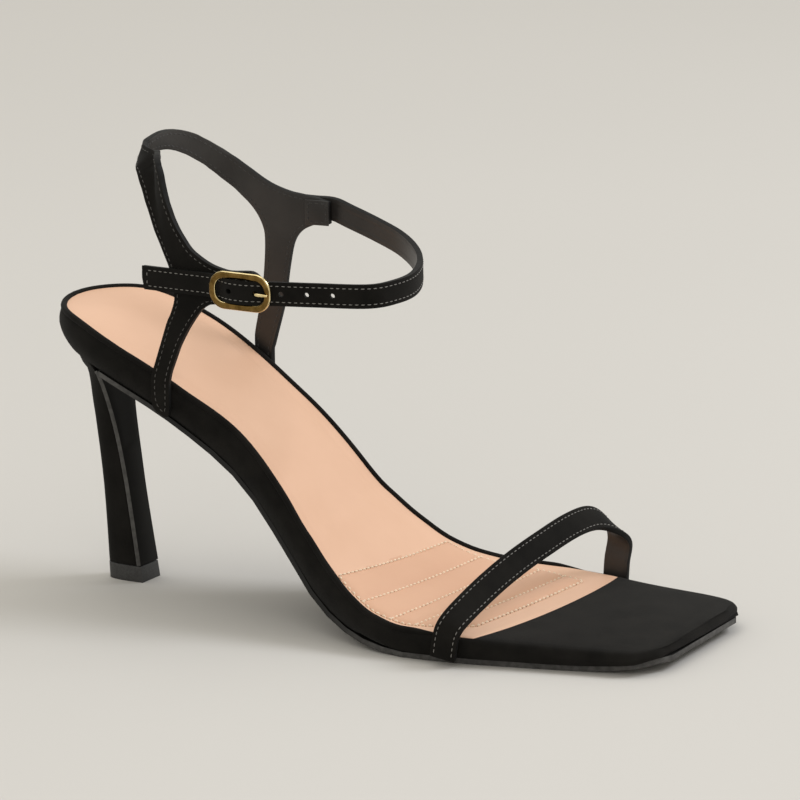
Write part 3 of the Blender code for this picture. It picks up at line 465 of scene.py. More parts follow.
STRAP_SEAT = WALL + GAP
BAR_CENTRE = WALL + GAP + 0.1 * MM + PRONG_WIRE + BUCKLE_WIRE / 2
STRAP_OVER = BAR_CENTRE + BUCKLE_WIRE / 2 + 0.2 * MM + TAB_THICKNESS + GAP
STRAP_DIP = 0.55 * STRAP_OVER
FRAME_OUT = STRAP_DIP + WALL + GAP + BUCKLE_WIRE / 2 + 0.4 * MM


def strap_profile():
    """How far the strap stands off the quarter, by place along it."""
    half = (BUCKLE_LENGTH - BUCKLE_WIRE) / 2
    return (
        (-TAIL_LENGTH, STRAP_SEAT),
        (-22.0 * MM, STRAP_SEAT),
        (-half - 4.5 * MM, STRAP_SEAT),
        (-half, STRAP_SEAT + 0.22 * (STRAP_OVER - STRAP_SEAT)),
        (-0.42 * half, STRAP_SEAT + 0.86 * (STRAP_OVER - STRAP_SEAT)),
        (-0.18 * half, STRAP_OVER),
        (0.18 * half, STRAP_OVER),
        (0.55 * half, STRAP_DIP + 0.62 * (STRAP_OVER - STRAP_DIP)),
        (half, STRAP_DIP),
        (half + 5.0 * MM, STRAP_SEAT),
    )


def route(points, leans, per_span=12, backwards=False):
    """A strap's way round the foot: its places and the directions across it and out."""
    path = smooth_path(points, per_span) + PLACE
    tilt = smooth_path(leans, per_span)
    if backwards:
        path, tilt = path[::-1], tilt[::-1]
    along = directions(path)
    across = unit(tilt - along * np.sum(tilt * along, axis=1)[:, None])
    out = np.cross(along, across)
    return {"length": run_length(path), "place": path, "across": across, "out": out}


def ankle_strap_route():
    """Way of the ankle strap from its tail through the buckle to the inner quarter."""
    points = [side_point(a, n, 0.0) for a, n in strap_profile()]
    for forward, across, up in STRAP_ROWS:
        points.append(np.array([
            BUCKLE_PLACE + forward * STRAP_REACH,
            across * ANKLE_OUTER,
            STRAP_LEVEL + up * LOOP_TOP,
        ]))
    level = STRAP_LEVEL + 0.083 * LOOP_TOP
    last = side_place(BUCKLE_PLACE - 2.0 * MM, 1)
    for step_back in (0.0, 6.0, 12.0):
        place, _ = ankle_point(last - step_back * MM, WALL + GAP)
        points.append(np.array([place[0], place[1], level + 0.02 * step_back * MM]))
    return route(points, [(0.0, 0.0, 1.0)] * len(points))


def vamp_strap_route():
    """Way of the vamp strap from the inner side over the toes to the outer side."""
    half = BALL_WIDTH / 2

    def side_spot(side, along, up):
        """A spot on one side, outside the footbed's band."""
        x = VAMP_BACK + along * VAMP_SKEW
        band = float(half_width(x, side)) + SIDE_BULGE + 2.5 * GAP
        return (x, math.copysign(band, side), up)

    points = []
    leans = []
    for across, up, along, lean in VAMP_ROWS:
        if abs(across) > 0.95:
            points.append(side_spot(across, along, up * VAMP_RISE))
        else:
            points.append((VAMP_BACK + along * VAMP_SKEW, across * half, up * VAMP_RISE))
        leans.append((1.0, 0.0, -lean))
    rest = 2.5 * MM
    points = [side_spot(-1.0, 0.0, rest)] + points + [side_spot(1.0, 1.0, rest)]
    leans = [(1.0, 0.0, 0.0)] + leans + [(1.0, 0.0, 0.0)]
    return route(points, leans, backwards=True)


# Materials
def fill(node, sockets):
    """Set a node's own sockets."""
    for name, value in sockets.items():
        node.inputs[name].default_value = value


def shader_of(material):
    """A material's Principled shader."""
    return material.node_tree.nodes["Principled BSDF"]


def finish(name, colour, roughness, metallic=0.0, specular=0.5, sheen=0.0):
    """A Principled material with its constants set on their own sockets."""
    material = bpy.data.materials.new(name)
    material.use_nodes = True
    fill(shader_of(material), {
        "Base Color": (*colour, 1.0), "Roughness": roughness, "Metallic": metallic,
        "Specular IOR Level": specular, "Sheen Weight": sheen, "Sheen Roughness": 0.45,
    })
    return material


def add_node(material, kind, sockets=None, **settings):
    """A node with its settings and unlinked sockets filled in."""
    node = material.node_tree.nodes.new(kind)
    for name, value in settings.items():
        setattr(node, name, value)
    fill(node, sockets or {})
    return node


def link(material, source, socket, target, place):
    """Join one node's output to another's input."""
    material.node_tree.links.new(source.outputs[socket], target.inputs[place])


def noise(material, scale, detail=3.0, roughness=0.5, stretch=(1.0, 1.0, 1.0)):
    """Noise on object coordinates, stretched where a grain has a direction."""
    place = add_node(material, "ShaderNodeTexCoord")
    mapping = add_node(material, "ShaderNodeMapping", {"Scale": stretch})
    texture = add_node(material, "ShaderNodeTexNoise", {
        "Scale": scale, "Detail": detail, "Roughness": roughness})
    link(material, place, "Object", mapping, "Vector")
    link(material, mapping, "Vector", texture, "Vector")
    return texture


def mottle(material, texture, low, high, start=0.35, end=0.65):
    """Let a texture move the base colour between two tones."""
    ramp = add_node(material, "ShaderNodeValToRGB")
    for stop, place, tone in zip(ramp.color_ramp.elements, (start, end), (low, high)):
        stop.position = place
        stop.color = (*tone, 1.0)
    link(material, texture, "Fac", ramp, "Fac")
    link(material, ramp, "Color", shader_of(material), "Base Color")
    return ramp


def vary_roughness(material, texture, low, high):
    """Let a texture move the roughness between two values."""
    spread = add_node(material, "ShaderNodeMapRange", {"To Min": low, "To Max": high})
    link(material, texture, "Fac", spread, "Value")
    link(material, spread, "Result", shader_of(material), "Roughness")


def relief(material, texture, strength, depth, socket="Fac", below=None):
    """Bump from a texture, laid over another bump where one is given."""
    bump = add_node(material, "ShaderNodeBump", {"Strength": strength, "Distance": depth})
    link(material, texture, socket, bump, "Height")
    if below:
        link(material, below, "Normal", bump, "Normal")
    link(material, bump, "Normal", shader_of(material), "Normal")
    return bump


def grain(material, scale):
    """Pebbled leather grain."""
    place = add_node(material, "ShaderNodeTexCoord")
    cells = add_node(
        material, "ShaderNodeTexVoronoi", {"Scale": scale}, feature="DISTANCE_TO_EDGE")
    link(material, place, "Object", cells, "Vector")
    return cells


def make_nubuck():
    """Black napped leather: fine nap, soft mottling where the nap lies both ways."""
    nubuck = finish("black_nubuck", (0.007, 0.0062, 0.0052), 0.92, specular=0.12, sheen=0.035)
    patches = noise(nubuck, 95.0, detail=5.0, roughness=0.6)
    mottle(nubuck, patches, (0.0052, 0.0046, 0.0038), (0.0105, 0.0094, 0.0080))
    nap = noise(nubuck, 3600.0, detail=2.0, roughness=0.7)
    below = relief(nubuck, patches, 0.15, 0.0004)
    relief(nubuck, nap, 0.45, 0.00016, below=below)
    vary_roughness(nubuck, patches, 0.86, 1.0)
    return nubuck


def make_lining():
    """Smooth charcoal lining leather with a faint grain."""
    lining = finish("charcoal_lining", (0.030, 0.026, 0.023), 0.4, specular=0.5)
    tone = noise(lining, 60.0, detail=4.0)
    mottle(lining, tone, (0.019, 0.0168, 0.0152), (0.030, 0.0265, 0.0238))
    below = relief(lining, grain(lining, 1500.0), 0.25, 0.00012, socket="Distance")
    relief(lining, noise(lining, 260.0), 0.15, 0.0003, below=below)
    vary_roughness(lining, tone, 0.34, 0.48)
    return lining


def patterned(name, colour, roughness, pattern, tones=None, bump=None, gloss=None, **shader):
    """A finish whose tone, relief and roughness follow one noise."""
    material = finish(name, colour, roughness, **shader)
    texture = noise(material, **pattern)
    if tones:
        mottle(material, texture, *tones)
    if bump:
        relief(material, texture, *bump)
    if gloss:
        vary_roughness(material, texture, *gloss)
    return material


def make_beige_leather(name, low, high):
    """Beige insole leather: soft tone changes, fine pores and a light grain."""
    leather = finish(name, high, 0.55, specular=0.3)
    tone = noise(leather, 22.0, detail=4.0, roughness=0.55)
    mottle(leather, tone, low, high, 0.3, 0.7)
    below = relief(leather, grain(leather, 1300.0), 0.22, 0.00012, socket="Distance")
    relief(leather, noise(leather, 180.0, detail=4.0), 0.12, 0.0005, below=below)
    vary_roughness(leather, tone, 0.46, 0.60)
    return leather


def make_cut_edge():
    """Grey of the outsole's cut edge, partly its satin finish and partly a painted highlight;
    painted dark as shade under the arch.
    """
    edge = finish("outsole_cut_edge", (0.085, 0.083, 0.080), 0.55, specular=0.25)
    lines = noise(edge, 500.0, detail=2.0)
    mottled_satin_and_highlight = mottle(edge, lines, (0.050, 0.048, 0.046), (0.085, 0.082, 0.078))
    # Painted shade: within 28 mm of the arch, 78 mm from the heel's back, the edge is near black,
    # fading back to the grey by 50 mm
    place = add_node(edge, "ShaderNodeTexCoord")
    parts = add_node(edge, "ShaderNodeSeparateXYZ")
    from_arch = add_node(
        edge, "ShaderNodeMath", {1: HEEL_BACK + 78.0 * MM}, operation="SUBTRACT")
    distance = add_node(edge, "ShaderNodeMath", operation="ABSOLUTE")
    spread = add_node(edge, "ShaderNodeMapRange", {
        "From Min": 28.0 * MM, "From Max": 50.0 * MM})
    arch_shade_mix = add_node(edge, "ShaderNodeMix", {6: (0.012, 0.0115, 0.011, 1.0)}, data_type="RGBA")
    link(edge, place, "Object", parts, "Vector")
    link(edge, parts, "X", from_arch, 0)
    link(edge, from_arch, "Value", distance, 0)
    link(edge, distance, "Value", spread, "Value")
    link(edge, spread, "Result", arch_shade_mix, "Factor")
    link(edge, mottled_satin_and_highlight, "Color", arch_shade_mix, 7)
    link(edge, arch_shade_mix, 2, shader_of(edge), "Base Color")
    relief(edge, lines, 0.2, 0.0001)
    return edge


def make_gold(name, low, high):
    """Polished gold plating with faint handling marks."""
    return patterned(
        name, high, 0.16, {"scale": 420.0, "detail": 5.0, "roughness": 0.65},
        (low, high), (0.06, 0.00005), (0.10, 0.26), metallic=1.0)


def make_thread(name, colour):
    """Sewing thread with its twisted plies."""
    tones = [tuple(min(1.0, share * c) for c in colour) for share in (0.72, 1.18)]
    return patterned(
        name, colour, 0.6, {"scale": 5200.0, "detail": 1.0, "stretch": (1.0, 1.0, 2.2)},
        tones, (0.5, 0.00008), specular=0.3, sheen=0.2)


nubuck = make_nubuck()
lining = make_lining()
edge_paint = patterned(
    "edge_paint", (0.005, 0.0046, 0.0042), 0.6, {"scale": 700.0},
    bump=(0.3, 0.0001), gloss=(0.5, 0.7), specular=0.18)
beige = make_beige_leather("beige_leather", (0.705, 0.435, 0.290), (0.760, 0.483, 0.332))
# The quilted pad's beige is darker and more saturated than the rest: painted shade of its puffed
# channels
quilted = make_beige_leather("quilted_pad_painted_shade", (0.640, 0.372, 0.240), (0.695, 0.418, 0.276))
sole_rubber = patterned(
    "sole_rubber", (0.006, 0.0056, 0.0052), 0.55,
    {"scale": 240.0, "detail": 5.0, "stretch": (0.12, 1.0, 1.0)},
    ((0.005, 0.0046, 0.0042), (0.0085, 0.008, 0.0072)), (0.12, 0.0002), (0.46, 0.62),
    specular=0.09)
# The outsole's cut edge: grey partly painted highlight, darkened as painted shade towards the
# arch
cut_edge = make_cut_edge()
tread_rubber = patterned(
    "top_piece_rubber", (0.040, 0.039, 0.038), 0.6,
    {"scale": 1600.0, "detail": 4.0, "roughness": 0.7},
    ((0.030, 0.029, 0.028), (0.052, 0.051, 0.050)), (0.35, 0.0001), specular=0.4)
gold = make_gold("gold_plating", (0.74, 0.58, 0.28), (0.90, 0.75, 0.42))
# Dark brownish gold for the buckle frame's outward flat face: a painted dark reflection
dark_reflection_gold = make_gold("gold_with_painted_reflection", (0.12, 0.070, 0.018), (0.24, 0.145, 0.042))
grey_thread = make_thread("grey_thread", (0.20, 0.19, 0.175))
faint_thread = make_thread("faint_thread", (0.075, 0.070, 0.064))
dark_thread = make_thread("dark_thread", (0.045, 0.043, 0.042))
cream_thread = make_thread("cream_thread", (0.92, 0.70, 0.52))
# Dark brown dots at the quilted pad's needle holes: painted shade in the holes
needle_shade = make_thread("needle_hole", (0.31, 0.17, 0.10))
paper = patterned(
    "studio_paper", (0.60, 0.575, 0.54), 0.9, {"scale": 1.1, "detail": 2.0},
    ((0.590, 0.566, 0.531), (0.612, 0.587, 0.552)), specular=0.1)


# Working with pieces
def clear_selection():
    """Leave edit mode and select nothing."""
    if bpy.context.object and bpy.context.object.mode != "OBJECT":
        bpy.ops.object.mode_set(mode="OBJECT")
    bpy.ops.object.select_all(action="DESELECT")


def make_active(piece):
    """Select one piece alone."""
    clear_selection()
    piece.select_set(True)
    bpy.context.view_layer.objects.active = piece


def coords(piece):
    """A piece's vertex places."""
    points = np.empty(len(piece.data.vertices) * 3)
    piece.data.vertices.foreach_get("co", points)
    return points.reshape(-1, 3)


def set_coords(piece, points):
    """Move a piece's vertices."""
    piece.data.vertices.foreach_set("co", np.asarray(points, dtype=float).ravel())
    piece.data.update()


def placed(name, data):
    """A new object in the scene."""
    piece = bpy.data.objects.new(name, data)
    bpy.context.scene.collection.objects.link(piece)
    return piece


def open_mesh(piece, action="SELECT", kind="VERT"):
    """Open a piece in edit mode with all or none of it selected."""
    make_active(piece)
    bpy.ops.object.mode_set(mode="EDIT")
    bpy.ops.mesh.select_mode(type=kind)
    bpy.ops.mesh.select_all(action=action)


def close_mesh():
    """Leave edit mode."""
    bpy.ops.object.mode_set(mode="OBJECT")


def modify(piece, kind, **settings):
    """Add a modifier to a piece and apply it."""
    modifier = piece.modifiers.new(kind.lower(), kind)
    for name, value in settings.items():
        setattr(modifier, name, value)
    make_active(piece)
    bpy.ops.object.modifier_apply(modifier=modifier.name)


def shade():
    """Shade the active piece smooth, apart from its sharp edges."""
    bpy.ops.object.shade_smooth_by_angle(angle=math.radians(38))


def soften(piece, width, segments=2, angle=45.0):
    """Round a piece's sharp edges and shade it smooth."""
    modify(piece, "BEVEL", width=width, segments=segments, limit_method="ANGLE",
           angle_limit=math.radians(angle), use_clamp_overlap=True)
    shade()


def thicken(piece, thickness, faces=0, edges=0, even=True):
    """Give a sheet its thickness behind its face."""
    modify(piece, "SOLIDIFY", thickness=thickness, offset=-1.0, use_even_offset=even,
           material_offset=faces, material_offset_rim=edges)


def refine(piece):
    """Smooth a piece by one subdivision."""
    modify(piece, "SUBSURF", levels=1, render_levels=1, boundary_smooth="PRESERVE_CORNERS")


def round_over(piece, angle):
    """Smooth a piece by subdivision, its edges sharper than an angle kept."""
    open_mesh(piece, "DESELECT", "EDGE")
    bpy.ops.mesh.edges_select_sharp(sharpness=math.radians(angle))
    bpy.ops.transform.edge_crease(value=1.0)
    close_mesh()
    refine(piece)
    shade()


def cover(piece, *materials):
    """Give a piece its materials."""
    piece.data.materials.clear()
    for material in materials:
        piece.data.materials.append(material)


def dress(piece, node, slot, *materials):
    """Give a piece its materials, join it to the root body and hide the solid it stands for; its
    slot is not used.
    """
    if materials:
        cover(piece, *materials)
    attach(piece, "root")
    if node:
        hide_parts(node)


def copied(node, name):
    """A merged copy of a solid, ready for finishing."""
    clear_selection()
    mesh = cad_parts[node].data.copy()
    mesh.name = name
    piece = placed(name, mesh)
    open_mesh(piece)
    bpy.ops.mesh.remove_doubles(threshold=MERGE)
    bpy.ops.mesh.tris_convert_to_quads(face_threshold=math.radians(20))
    close_mesh()
    if mesh.has_custom_normals:
        bpy.ops.mesh.customdata_custom_splitnormals_clear()
    return piece


def tag_faces(piece, rule):
    """Give each face the material that a rule names from its place and normal."""
    for face in piece.data.polygons:
        face.material_index = rule(face.center, face.normal)


def on_way(way, along, across, out):
    """Places and outward directions on a strap's way."""
    place, sideways, outward = (
        along_run(along, way["length"], way[part]) for part in ("place", "across", "out"))
    across, out = np.reshape(across, (-1, 1)), np.reshape(out, (-1, 1))
    return place + across * sideways + out * outward, outward


def stitch_shape():
    """One stitch of unit length, from a ball with its ends drawn in."""
    clear_selection()
    bpy.ops.mesh.primitive_uv_sphere_add(segments=8, ring_count=6, radius=0.5)
    ball = bpy.context.object
    points = coords(ball)
    faces = [tuple(p.vertices) for p in ball.data.polygons]
    bpy.data.objects.remove(ball)
    shape = np.stack((points[:, 2], points[:, 0], points[:, 1]), axis=1)
    shape[:, 0] = 0.5 * np.sign(shape[:, 0]) * np.abs(2.0 * shape[:, 0]) ** 0.8
    return shape, faces


STITCH, STITCH_FACES = stitch_shape()


def sew(name, lines, thread, length=STITCH_LENGTH, pitch=STITCH_PITCH, width=THREAD, sink=0.12):
    """A row of stitches along each line of places and outward directions."""
    verts = []
    faces = []
    for places, outwards in lines:
        run = run_length(places)
        count = max(1, int(run[-1] / pitch))
        for k in range(count):
            at = (k + 0.5) * run[-1] / count
            back, centre, ahead = (
                along_run(at + shift * pitch, run, places) for shift in (-0.3, 0.0, 0.3))
            along = unit(ahead - back)
            up = along_run(at, run, outwards)
            up = unit(up - along * (up @ along))
            side = np.cross(up, along)
            start = len(verts)
            for x, y, z in STITCH:
                verts.append(
                    centre + along * x * length + side * y * width
                    + up * (z + 0.5 - sink - 2.0 * x * x) * width
                )
            faces += [tuple(start + i for i in face) for face in STITCH_FACES]
    mesh = bpy.data.meshes.new(name)
    mesh.from_pydata([tuple(v) for v in verts], [], faces)
    mesh.shade_smooth()
    mesh.materials.append(thread)
    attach(placed(name, mesh), "root")


# Pieces
def flat_grid(name, cells, location=(0.0, 0.0, 0.0)):
    """A flat square grid, one metre across, to be shaped into a sheet."""
    clear_selection()
    bpy.ops.mesh.primitive_grid_add(
        x_subdivisions=cells[0], y_subdivisions=cells[1], size=1.0, location=location)
    sheet = bpy.context.object
    sheet.name = sheet.data.name = name
    return sheet


def flat_strap(name, length, width, cells):
    """A flat strap blank with a pressed line under its stitches."""
    strap = flat_grid(name, cells, (length / 2, 0.0, WALL))
    strap.scale = (length, width, 1.0)
    bpy.ops.object.transform_apply(location=True, scale=True)
    points = coords(strap)
    off = np.abs(np.abs(points[:, 1]) - (width / 2 - STITCH_INSET))
    rim = width / 2 - np.abs(points[:, 1])
    points[:, 2] -= STITCH_DEPTH * groove(off, 0.35 * MM)
    points[:, 2] -= STITCH_DEPTH * groove(rim, 0.5 * MM)
    set_coords(strap, points)
    thicken(strap, WALL)
    return strap


def punch(strap, places, diameter):
    """Punch round holes through a flat strap."""
    for place in places:
        clear_selection()
        bpy.ops.mesh.primitive_cylinder_add(
            vertices=28, radius=diameter / 2, depth=12.0 * MM, location=(place, 0.0, 0.0))
        tool = bpy.context.object
        modify(strap, "BOOLEAN", operation="DIFFERENCE", object=tool, solver="EXACT")
        bpy.data.objects.remove(tool)


def finish_strap(strap, way, node):
    """Cover a flat strap, round its edges and lay it along its way round the foot."""
    cover(strap, nubuck, lining, edge_paint)
    tag_faces(strap, lambda centre, normal: (
        0 if normal.z > 0.6 else 1 if normal.z < -0.6 else 2))
    soften(strap, STRAP_ROUNDING, angle=55.0)
    set_coords(strap, on_way(way, *coords(strap).T)[0])
    dress(strap, node, "nubuck")


def edge_rows(way, width, first, last, count):
    """Lines of the stitches along both edges of a strap."""
    along = np.linspace(first, way["length"][-1] - last, count)
    inset = width / 2 - STITCH_INSET
    return [on_way(way, along, side * inset, WALL - STITCH_DEPTH) for side in (-1, 1)]


def make_ankle_strap():
    """The ankle strap with its punched holes and both rows of stitches."""
    way = ankle_strap_route()
    length = way["length"][-1]
    strap = flat_strap("ankle_strap_look", length, ANKLE_STRAP_WIDTH, (260, 22))
    half = (BUCKLE_LENGTH - BUCKLE_WIRE) / 2
    place, forward, _ = side_frame()
    ahead = (way["place"][:, :2] - PLACE[:2] - place) @ forward
    peak = int(np.argmax(ahead[:120]))
    start = float(np.interp(PRONG_PLACE * half, ahead[:peak], way["length"][:peak]))
    punch(strap, [start + k * HOLE_PITCH for k in (-1, 0, 1, 2, 3)], PRONG_HOLE)
    points = coords(strap)
    tail = 1.0 - rise(points[:, 0], 0.0, 6.0 * MM)
    points[:, 0] += tail * TAIL_SLANT * (-points[:, 1] / ANKLE_STRAP_WIDTH - 0.5)
    points[:, 0] += tail * TAIL_SLANT * 0.5
    set_coords(strap, points)
    finish_strap(strap, way, "ankle_strap")
    end = 1.8 * MM
    inset = ANKLE_STRAP_WIDTH / 2 - STITCH_INSET
    lines = edge_rows(way, ANKLE_STRAP_WIDTH, end, 1.5 * MM, 400)
    lines.append(on_way(way, [end] * 6, np.linspace(-inset, inset, 6), WALL - 0.08 * MM))
    sew("ankle_strap_stitches", lines, grey_thread)


def make_vamp_strap():
    """The vamp strap with both rows of stitches."""
    way = vamp_strap_route()
    strap = flat_strap("vamp_strap_look", way["length"][-1], VAMP_WIDTH, (190, 24))
    finish_strap(strap, way, "vamp_strap")
    lines = edge_rows(way, VAMP_WIDTH, 1.0 * MM, 1.0 * MM, 300)
    sew("vamp_strap_stitches", lines, grey_thread)


def rim_runs(piece):
    """Ordered vertex runs round a sheet's free edges, with the direction into the sheet."""
    work = bmesh.new()
    work.from_mesh(piece.data)
    work.verts.ensure_lookup_table()
    free = {}
    for edge in work.edges:
        if edge.is_boundary:
            a, b = (vertex.index for vertex in edge.verts)
            free.setdefault(a, []).append(b)
            free.setdefault(b, []).append(a)
    found = []
    left = set(free)
    while left:
        run = [left.pop()]
        nexts = free[run[-1]]
        while any(n in left for n in nexts):
            run.append(next(n for n in nexts if n in left))
            left.discard(run[-1])
            nexts = free[run[-1]]
        if len(run) < 20:
            continue
        places = np.array([work.verts[i].co for i in run])
        outs = np.array([work.verts[i].normal for i in run])
        ring = np.vstack((places[-1:], places, places[:1]))
        into = np.cross(outs, unit(ring[2:] - ring[:-2]))
        middle = np.array([
            np.mean([f.calc_center_median() for f in work.verts[i].link_faces], axis=0)
            for i in run
        ])
        if np.sum((middle - places) * into) < 0:
            into = -into
        found.append((places, outs, into))
    work.free()
    return found


def smooth_ring(values):
    """Soften a closed run of values, and close it."""
    for _ in range(3):
        before, after = np.roll(values, 1, axis=0), np.roll(values, -1, axis=0)
        values = 0.25 * before + 0.5 * values + 0.25 * after
    return np.vstack((values, values[:1]))


def lean_sling(upper):
    """Turn the sling's top edge inwards where it goes round behind the outer branch."""
    plan, length = ankle_plan()
    run = np.arange(-46.0 * MM, 20.0 * MM, 0.25 * MM)
    spots = along_run(run, length, plan)
    points = coords(upper)
    flat = (points - PLACE)[:, :2]
    rows = np.array(SLING_UNDER_ROWS) * MM
    for i in np.flatnonzero(points[:, 2] > rows[0][1]):
        nearest = int(np.argmin(np.hypot(spots[:, 0] - flat[i, 0], spots[:, 1] - flat[i, 1])))
        around = run[nearest]
        away = abs(around - LEAN_PLACE) / LEAN_REACH
        if away > 1.0:
            continue
        _, outward = ankle_point(around)
        above = points[i, 2] - np.interp(around, rows[:, 0], rows[:, 1])
        share = float(rise(above, LEAN_START, LEAN_RISE))
        share *= share * (3 - 2 * share)
        points[i, :2] -= outward * SLING_LEAN * math.cos(0.5 * math.pi * away) ** 2 * share
    set_coords(upper, points)


def make_rear_upper():
    """Quarters and sling as a lined wall, sewn along its edges."""
    upper = copied("rear_upper", "rear_upper_look")
    open_mesh(upper, "DESELECT", "FACE")
    close_mesh()
    outermost = min(upper.data.polygons, key=lambda face: face.center.y)
    outermost.select = True
    bpy.ops.object.mode_set(mode="EDIT")
    bpy.ops.mesh.faces_select_linked_flat(sharpness=math.radians(45))
    bpy.ops.mesh.select_all(action="INVERT")
    bpy.ops.mesh.delete(type="FACE")
    bpy.ops.mesh.select_all(action="SELECT")
    bpy.ops.mesh.subdivide(number_cuts=1)
    close_mesh()
    lean_sling(upper)
    refine(upper)
    runs = rim_runs(upper)
    cover(upper, nubuck, lining, edge_paint)
    thicken(upper, WALL, faces=1, edges=2, even=False)
    soften(upper, STRAP_ROUNDING, angle=55.0)
    dress(upper, "rear_upper", "nubuck")
    outside = []
    inside = []
    for places, outs, into in runs:
        line = smooth_ring(places + into * STITCH_INSET)
        outs = smooth_ring(outs)
        low = underside(line[:, 0] - HEEL_BACK) + 4.0 * MM
        keep = line[:, 2] > low
        starts = np.flatnonzero(np.diff(keep.astype(int)) != 0) + 1
        for part in np.split(np.arange(len(line)), starts):
            if len(part) > 8 and keep[part[0]]:
                outside.append((line[part] - outs[part] * 0.03 * MM, outs[part]))
                inner = line[part] - outs[part] * (WALL - 0.03 * MM)
                inside.append((inner, -outs[part]))
    sew("rear_upper_stitches", outside, faint_thread)
    sew("rear_upper_inside_stitches", inside, dark_thread)


def pad_sides():
    """The quilted pad's outer and inner side in plan."""
    return np.array(PAD_OUTER_SIDE) * MM, np.array(PAD_INNER_SIDE) * MM


def pad_lines():
    """Sewn lines of the quilted pad in plan: its rows and its two sides."""
    outer, inner = pad_sides()
    lines = []
    for first, last in PAD_ROWS:
        first, last = first * MM, last * MM
        y1 = float(ease(outer[:, 0], outer[:, 1], first))
        y2 = float(ease(inner[:, 0], inner[:, 1], last))
        share = np.linspace(0.0, 1.0, 60)
        bow = 1.4 * MM * np.sin(math.pi * share)
        lines.append(np.stack((first + (last - first) * share + bow * 0.4,
                               y1 + (y2 - y1) * share), axis=1))
    for place, side in enumerate((outer, inner)):
        x = np.linspace(PAD_ROWS[0][place] * MM, PAD_ROWS[-1][place] * MM, 60)
        lines.append(np.stack((x, ease(side[:, 0], side[:, 1], x)), axis=1))
    return lines


def on_pad(x, y):
    """Whether a place in plan lies on the quilted pad."""
    low, high = (ease(side[:, 0], side[:, 1], x) for side in pad_sides())
    share = (y - low) / (high - low)
    first, last = (
        (row[0] + (row[1] - row[0]) * share) * MM for row in (PAD_ROWS[0], PAD_ROWS[-1]))
    return (share > 0) & (share < 1) & (x > first) & (x < last)


def pad_relief(x, y):
    """Height of the quilted pad: soft channels between its sewn lines."""
    away = np.full(len(x), 1.0)
    for line in pad_lines():
        for k in range(0, len(line) - 1, 2):
            a, b = line[k], line[min(k + 2, len(line) - 1)]
            span = b - a
            t = np.clip(((x - a[0]) * span[0] + (y - a[1]) * span[1]) / (span @ span), 0, 1)
            away = np.minimum(away, np.hypot(x - a[0] - t * span[0], y - a[1] - t * span[1]))
    puff = np.where(on_pad(x, y), 1.1 * MM * (1.0 - np.exp(-away / (2.2 * MM))), 0.0)
    return puff - 0.38 * MM * groove(away, 0.8 * MM)


def insole_height(x, y):
    """Height of the insole's face with its quilting."""
    return topside(x) + INSOLE_PROUD + pad_relief(x, y)


def make_insole():
    """The beige insole, shaped on the last and quilted under the forefoot."""
    insole = flat_grid("insole_look", (250, 112))
    u, v = coords(insole)[:, :2].T + 0.5
    bend = 0.2
    share = np.where(u < bend, u * u / (2 * bend), u - bend / 2) / (1 - bend / 2)
    front_outer = half_width(165.0 * MM, -1, INSOLE_RIM)
    front_inner = half_width(172.0 * MM, 1, INSOLE_RIM)
    front = insole_front(-front_outer + v * (front_outer + front_inner))
    x = INSOLE_RIM + share * (front - INSOLE_RIM)
    outer, inner = (half_width(x, side, INSOLE_RIM) for side in (-1, 1))
    y = -outer + v * (outer + inner)
    z = insole_height(x, y)
    rim = np.minimum(np.minimum(v, 1 - v) * (outer + inner), front - x)
    rim = np.minimum(rim, x - INSOLE_RIM + (1 - np.abs(2 * v - 1)) * 12 * MM)
    arch = rise(x, 22 * MM, 25 * MM) * fall(x, 112 * MM, 15 * MM)
    z -= 0.35 * MM * groove(rim, 0.55 * MM)
    z -= 0.45 * MM * groove(rim - 5.5 * MM, 2.2 * MM) * arch
    set_coords(insole, np.stack((x, y, z), axis=1) + PLACE)
    thicken(insole, INSOLE_THICKNESS)
    soften(insole, 0.2 * MM, angle=60.0)
    dress(insole, "insole", "insole", beige, quilted)
    # Faces on the quilted pad take the darker beige of painted shade
    centres = np.array([face.center for face in insole.data.polygons]) - PLACE
    padded = on_pad(centres[:, 0], centres[:, 1])
    insole.data.polygons.foreach_set("material_index", padded.astype(np.int32))
    lines = []
    for x, y in (line.T for line in pad_lines()):
        places = np.stack((x, y, insole_height(x, y)), axis=1)
        slope = (topside(x + MM) - topside(x - MM)) / (2 * MM)
        outs = unit(np.stack((-slope, np.zeros(len(x)), np.ones(len(x))), axis=1))
        lines.append((places + PLACE + outs * STITCH_DEPTH, outs))
    sew("insole_stitches", lines, cream_thread, PAD_STITCH, PAD_PITCH, PAD_THREAD)
    # Dark dots of painted shade at the needle holes, between the stitches
    sew("insole_needle_holes", lines, needle_shade, NEEDLE_HOLE[0], PAD_PITCH / 2,
        NEEDLE_HOLE[1], sink=0.55)


def make_rim():
    """The nubuck bead round the insole, sunk and drawn thin at its two ends."""
    outer = np.concatenate((
        np.linspace(RIM_ENDS[0], RIM_TURN, 70), RIM_TURN * np.linspace(1, 0, 24)[1:] ** 2))
    inner = np.concatenate((
        RIM_TURN * np.linspace(0, 1, 24)[1:] ** 2, np.linspace(RIM_TURN, RIM_ENDS[1], 72)[1:]))
    path = []
    for side, run in ((-1, outer), (1, inner)):
        x = np.maximum(run * MM, INSOLE_RIM)
        y = side * half_width(x, side, INSOLE_RIM)
        path.append(np.stack((x, y, topside(x) + 0.15 * MM), axis=1))
    path = np.vstack(path) + PLACE
    radii = np.clip(run_length(path) / RIM_FADE, 0.15, 1.0)
    radii = np.minimum(radii, np.clip(run_length(path[::-1])[::-1] / RIM_FADE, 0.15, 1.0))
    path[:, 2] -= (1.0 - radii) * 0.9 * MM
    dress(wire("footbed_rim", path, RIM_BEAD, radii=radii), None, "nubuck", nubuck)


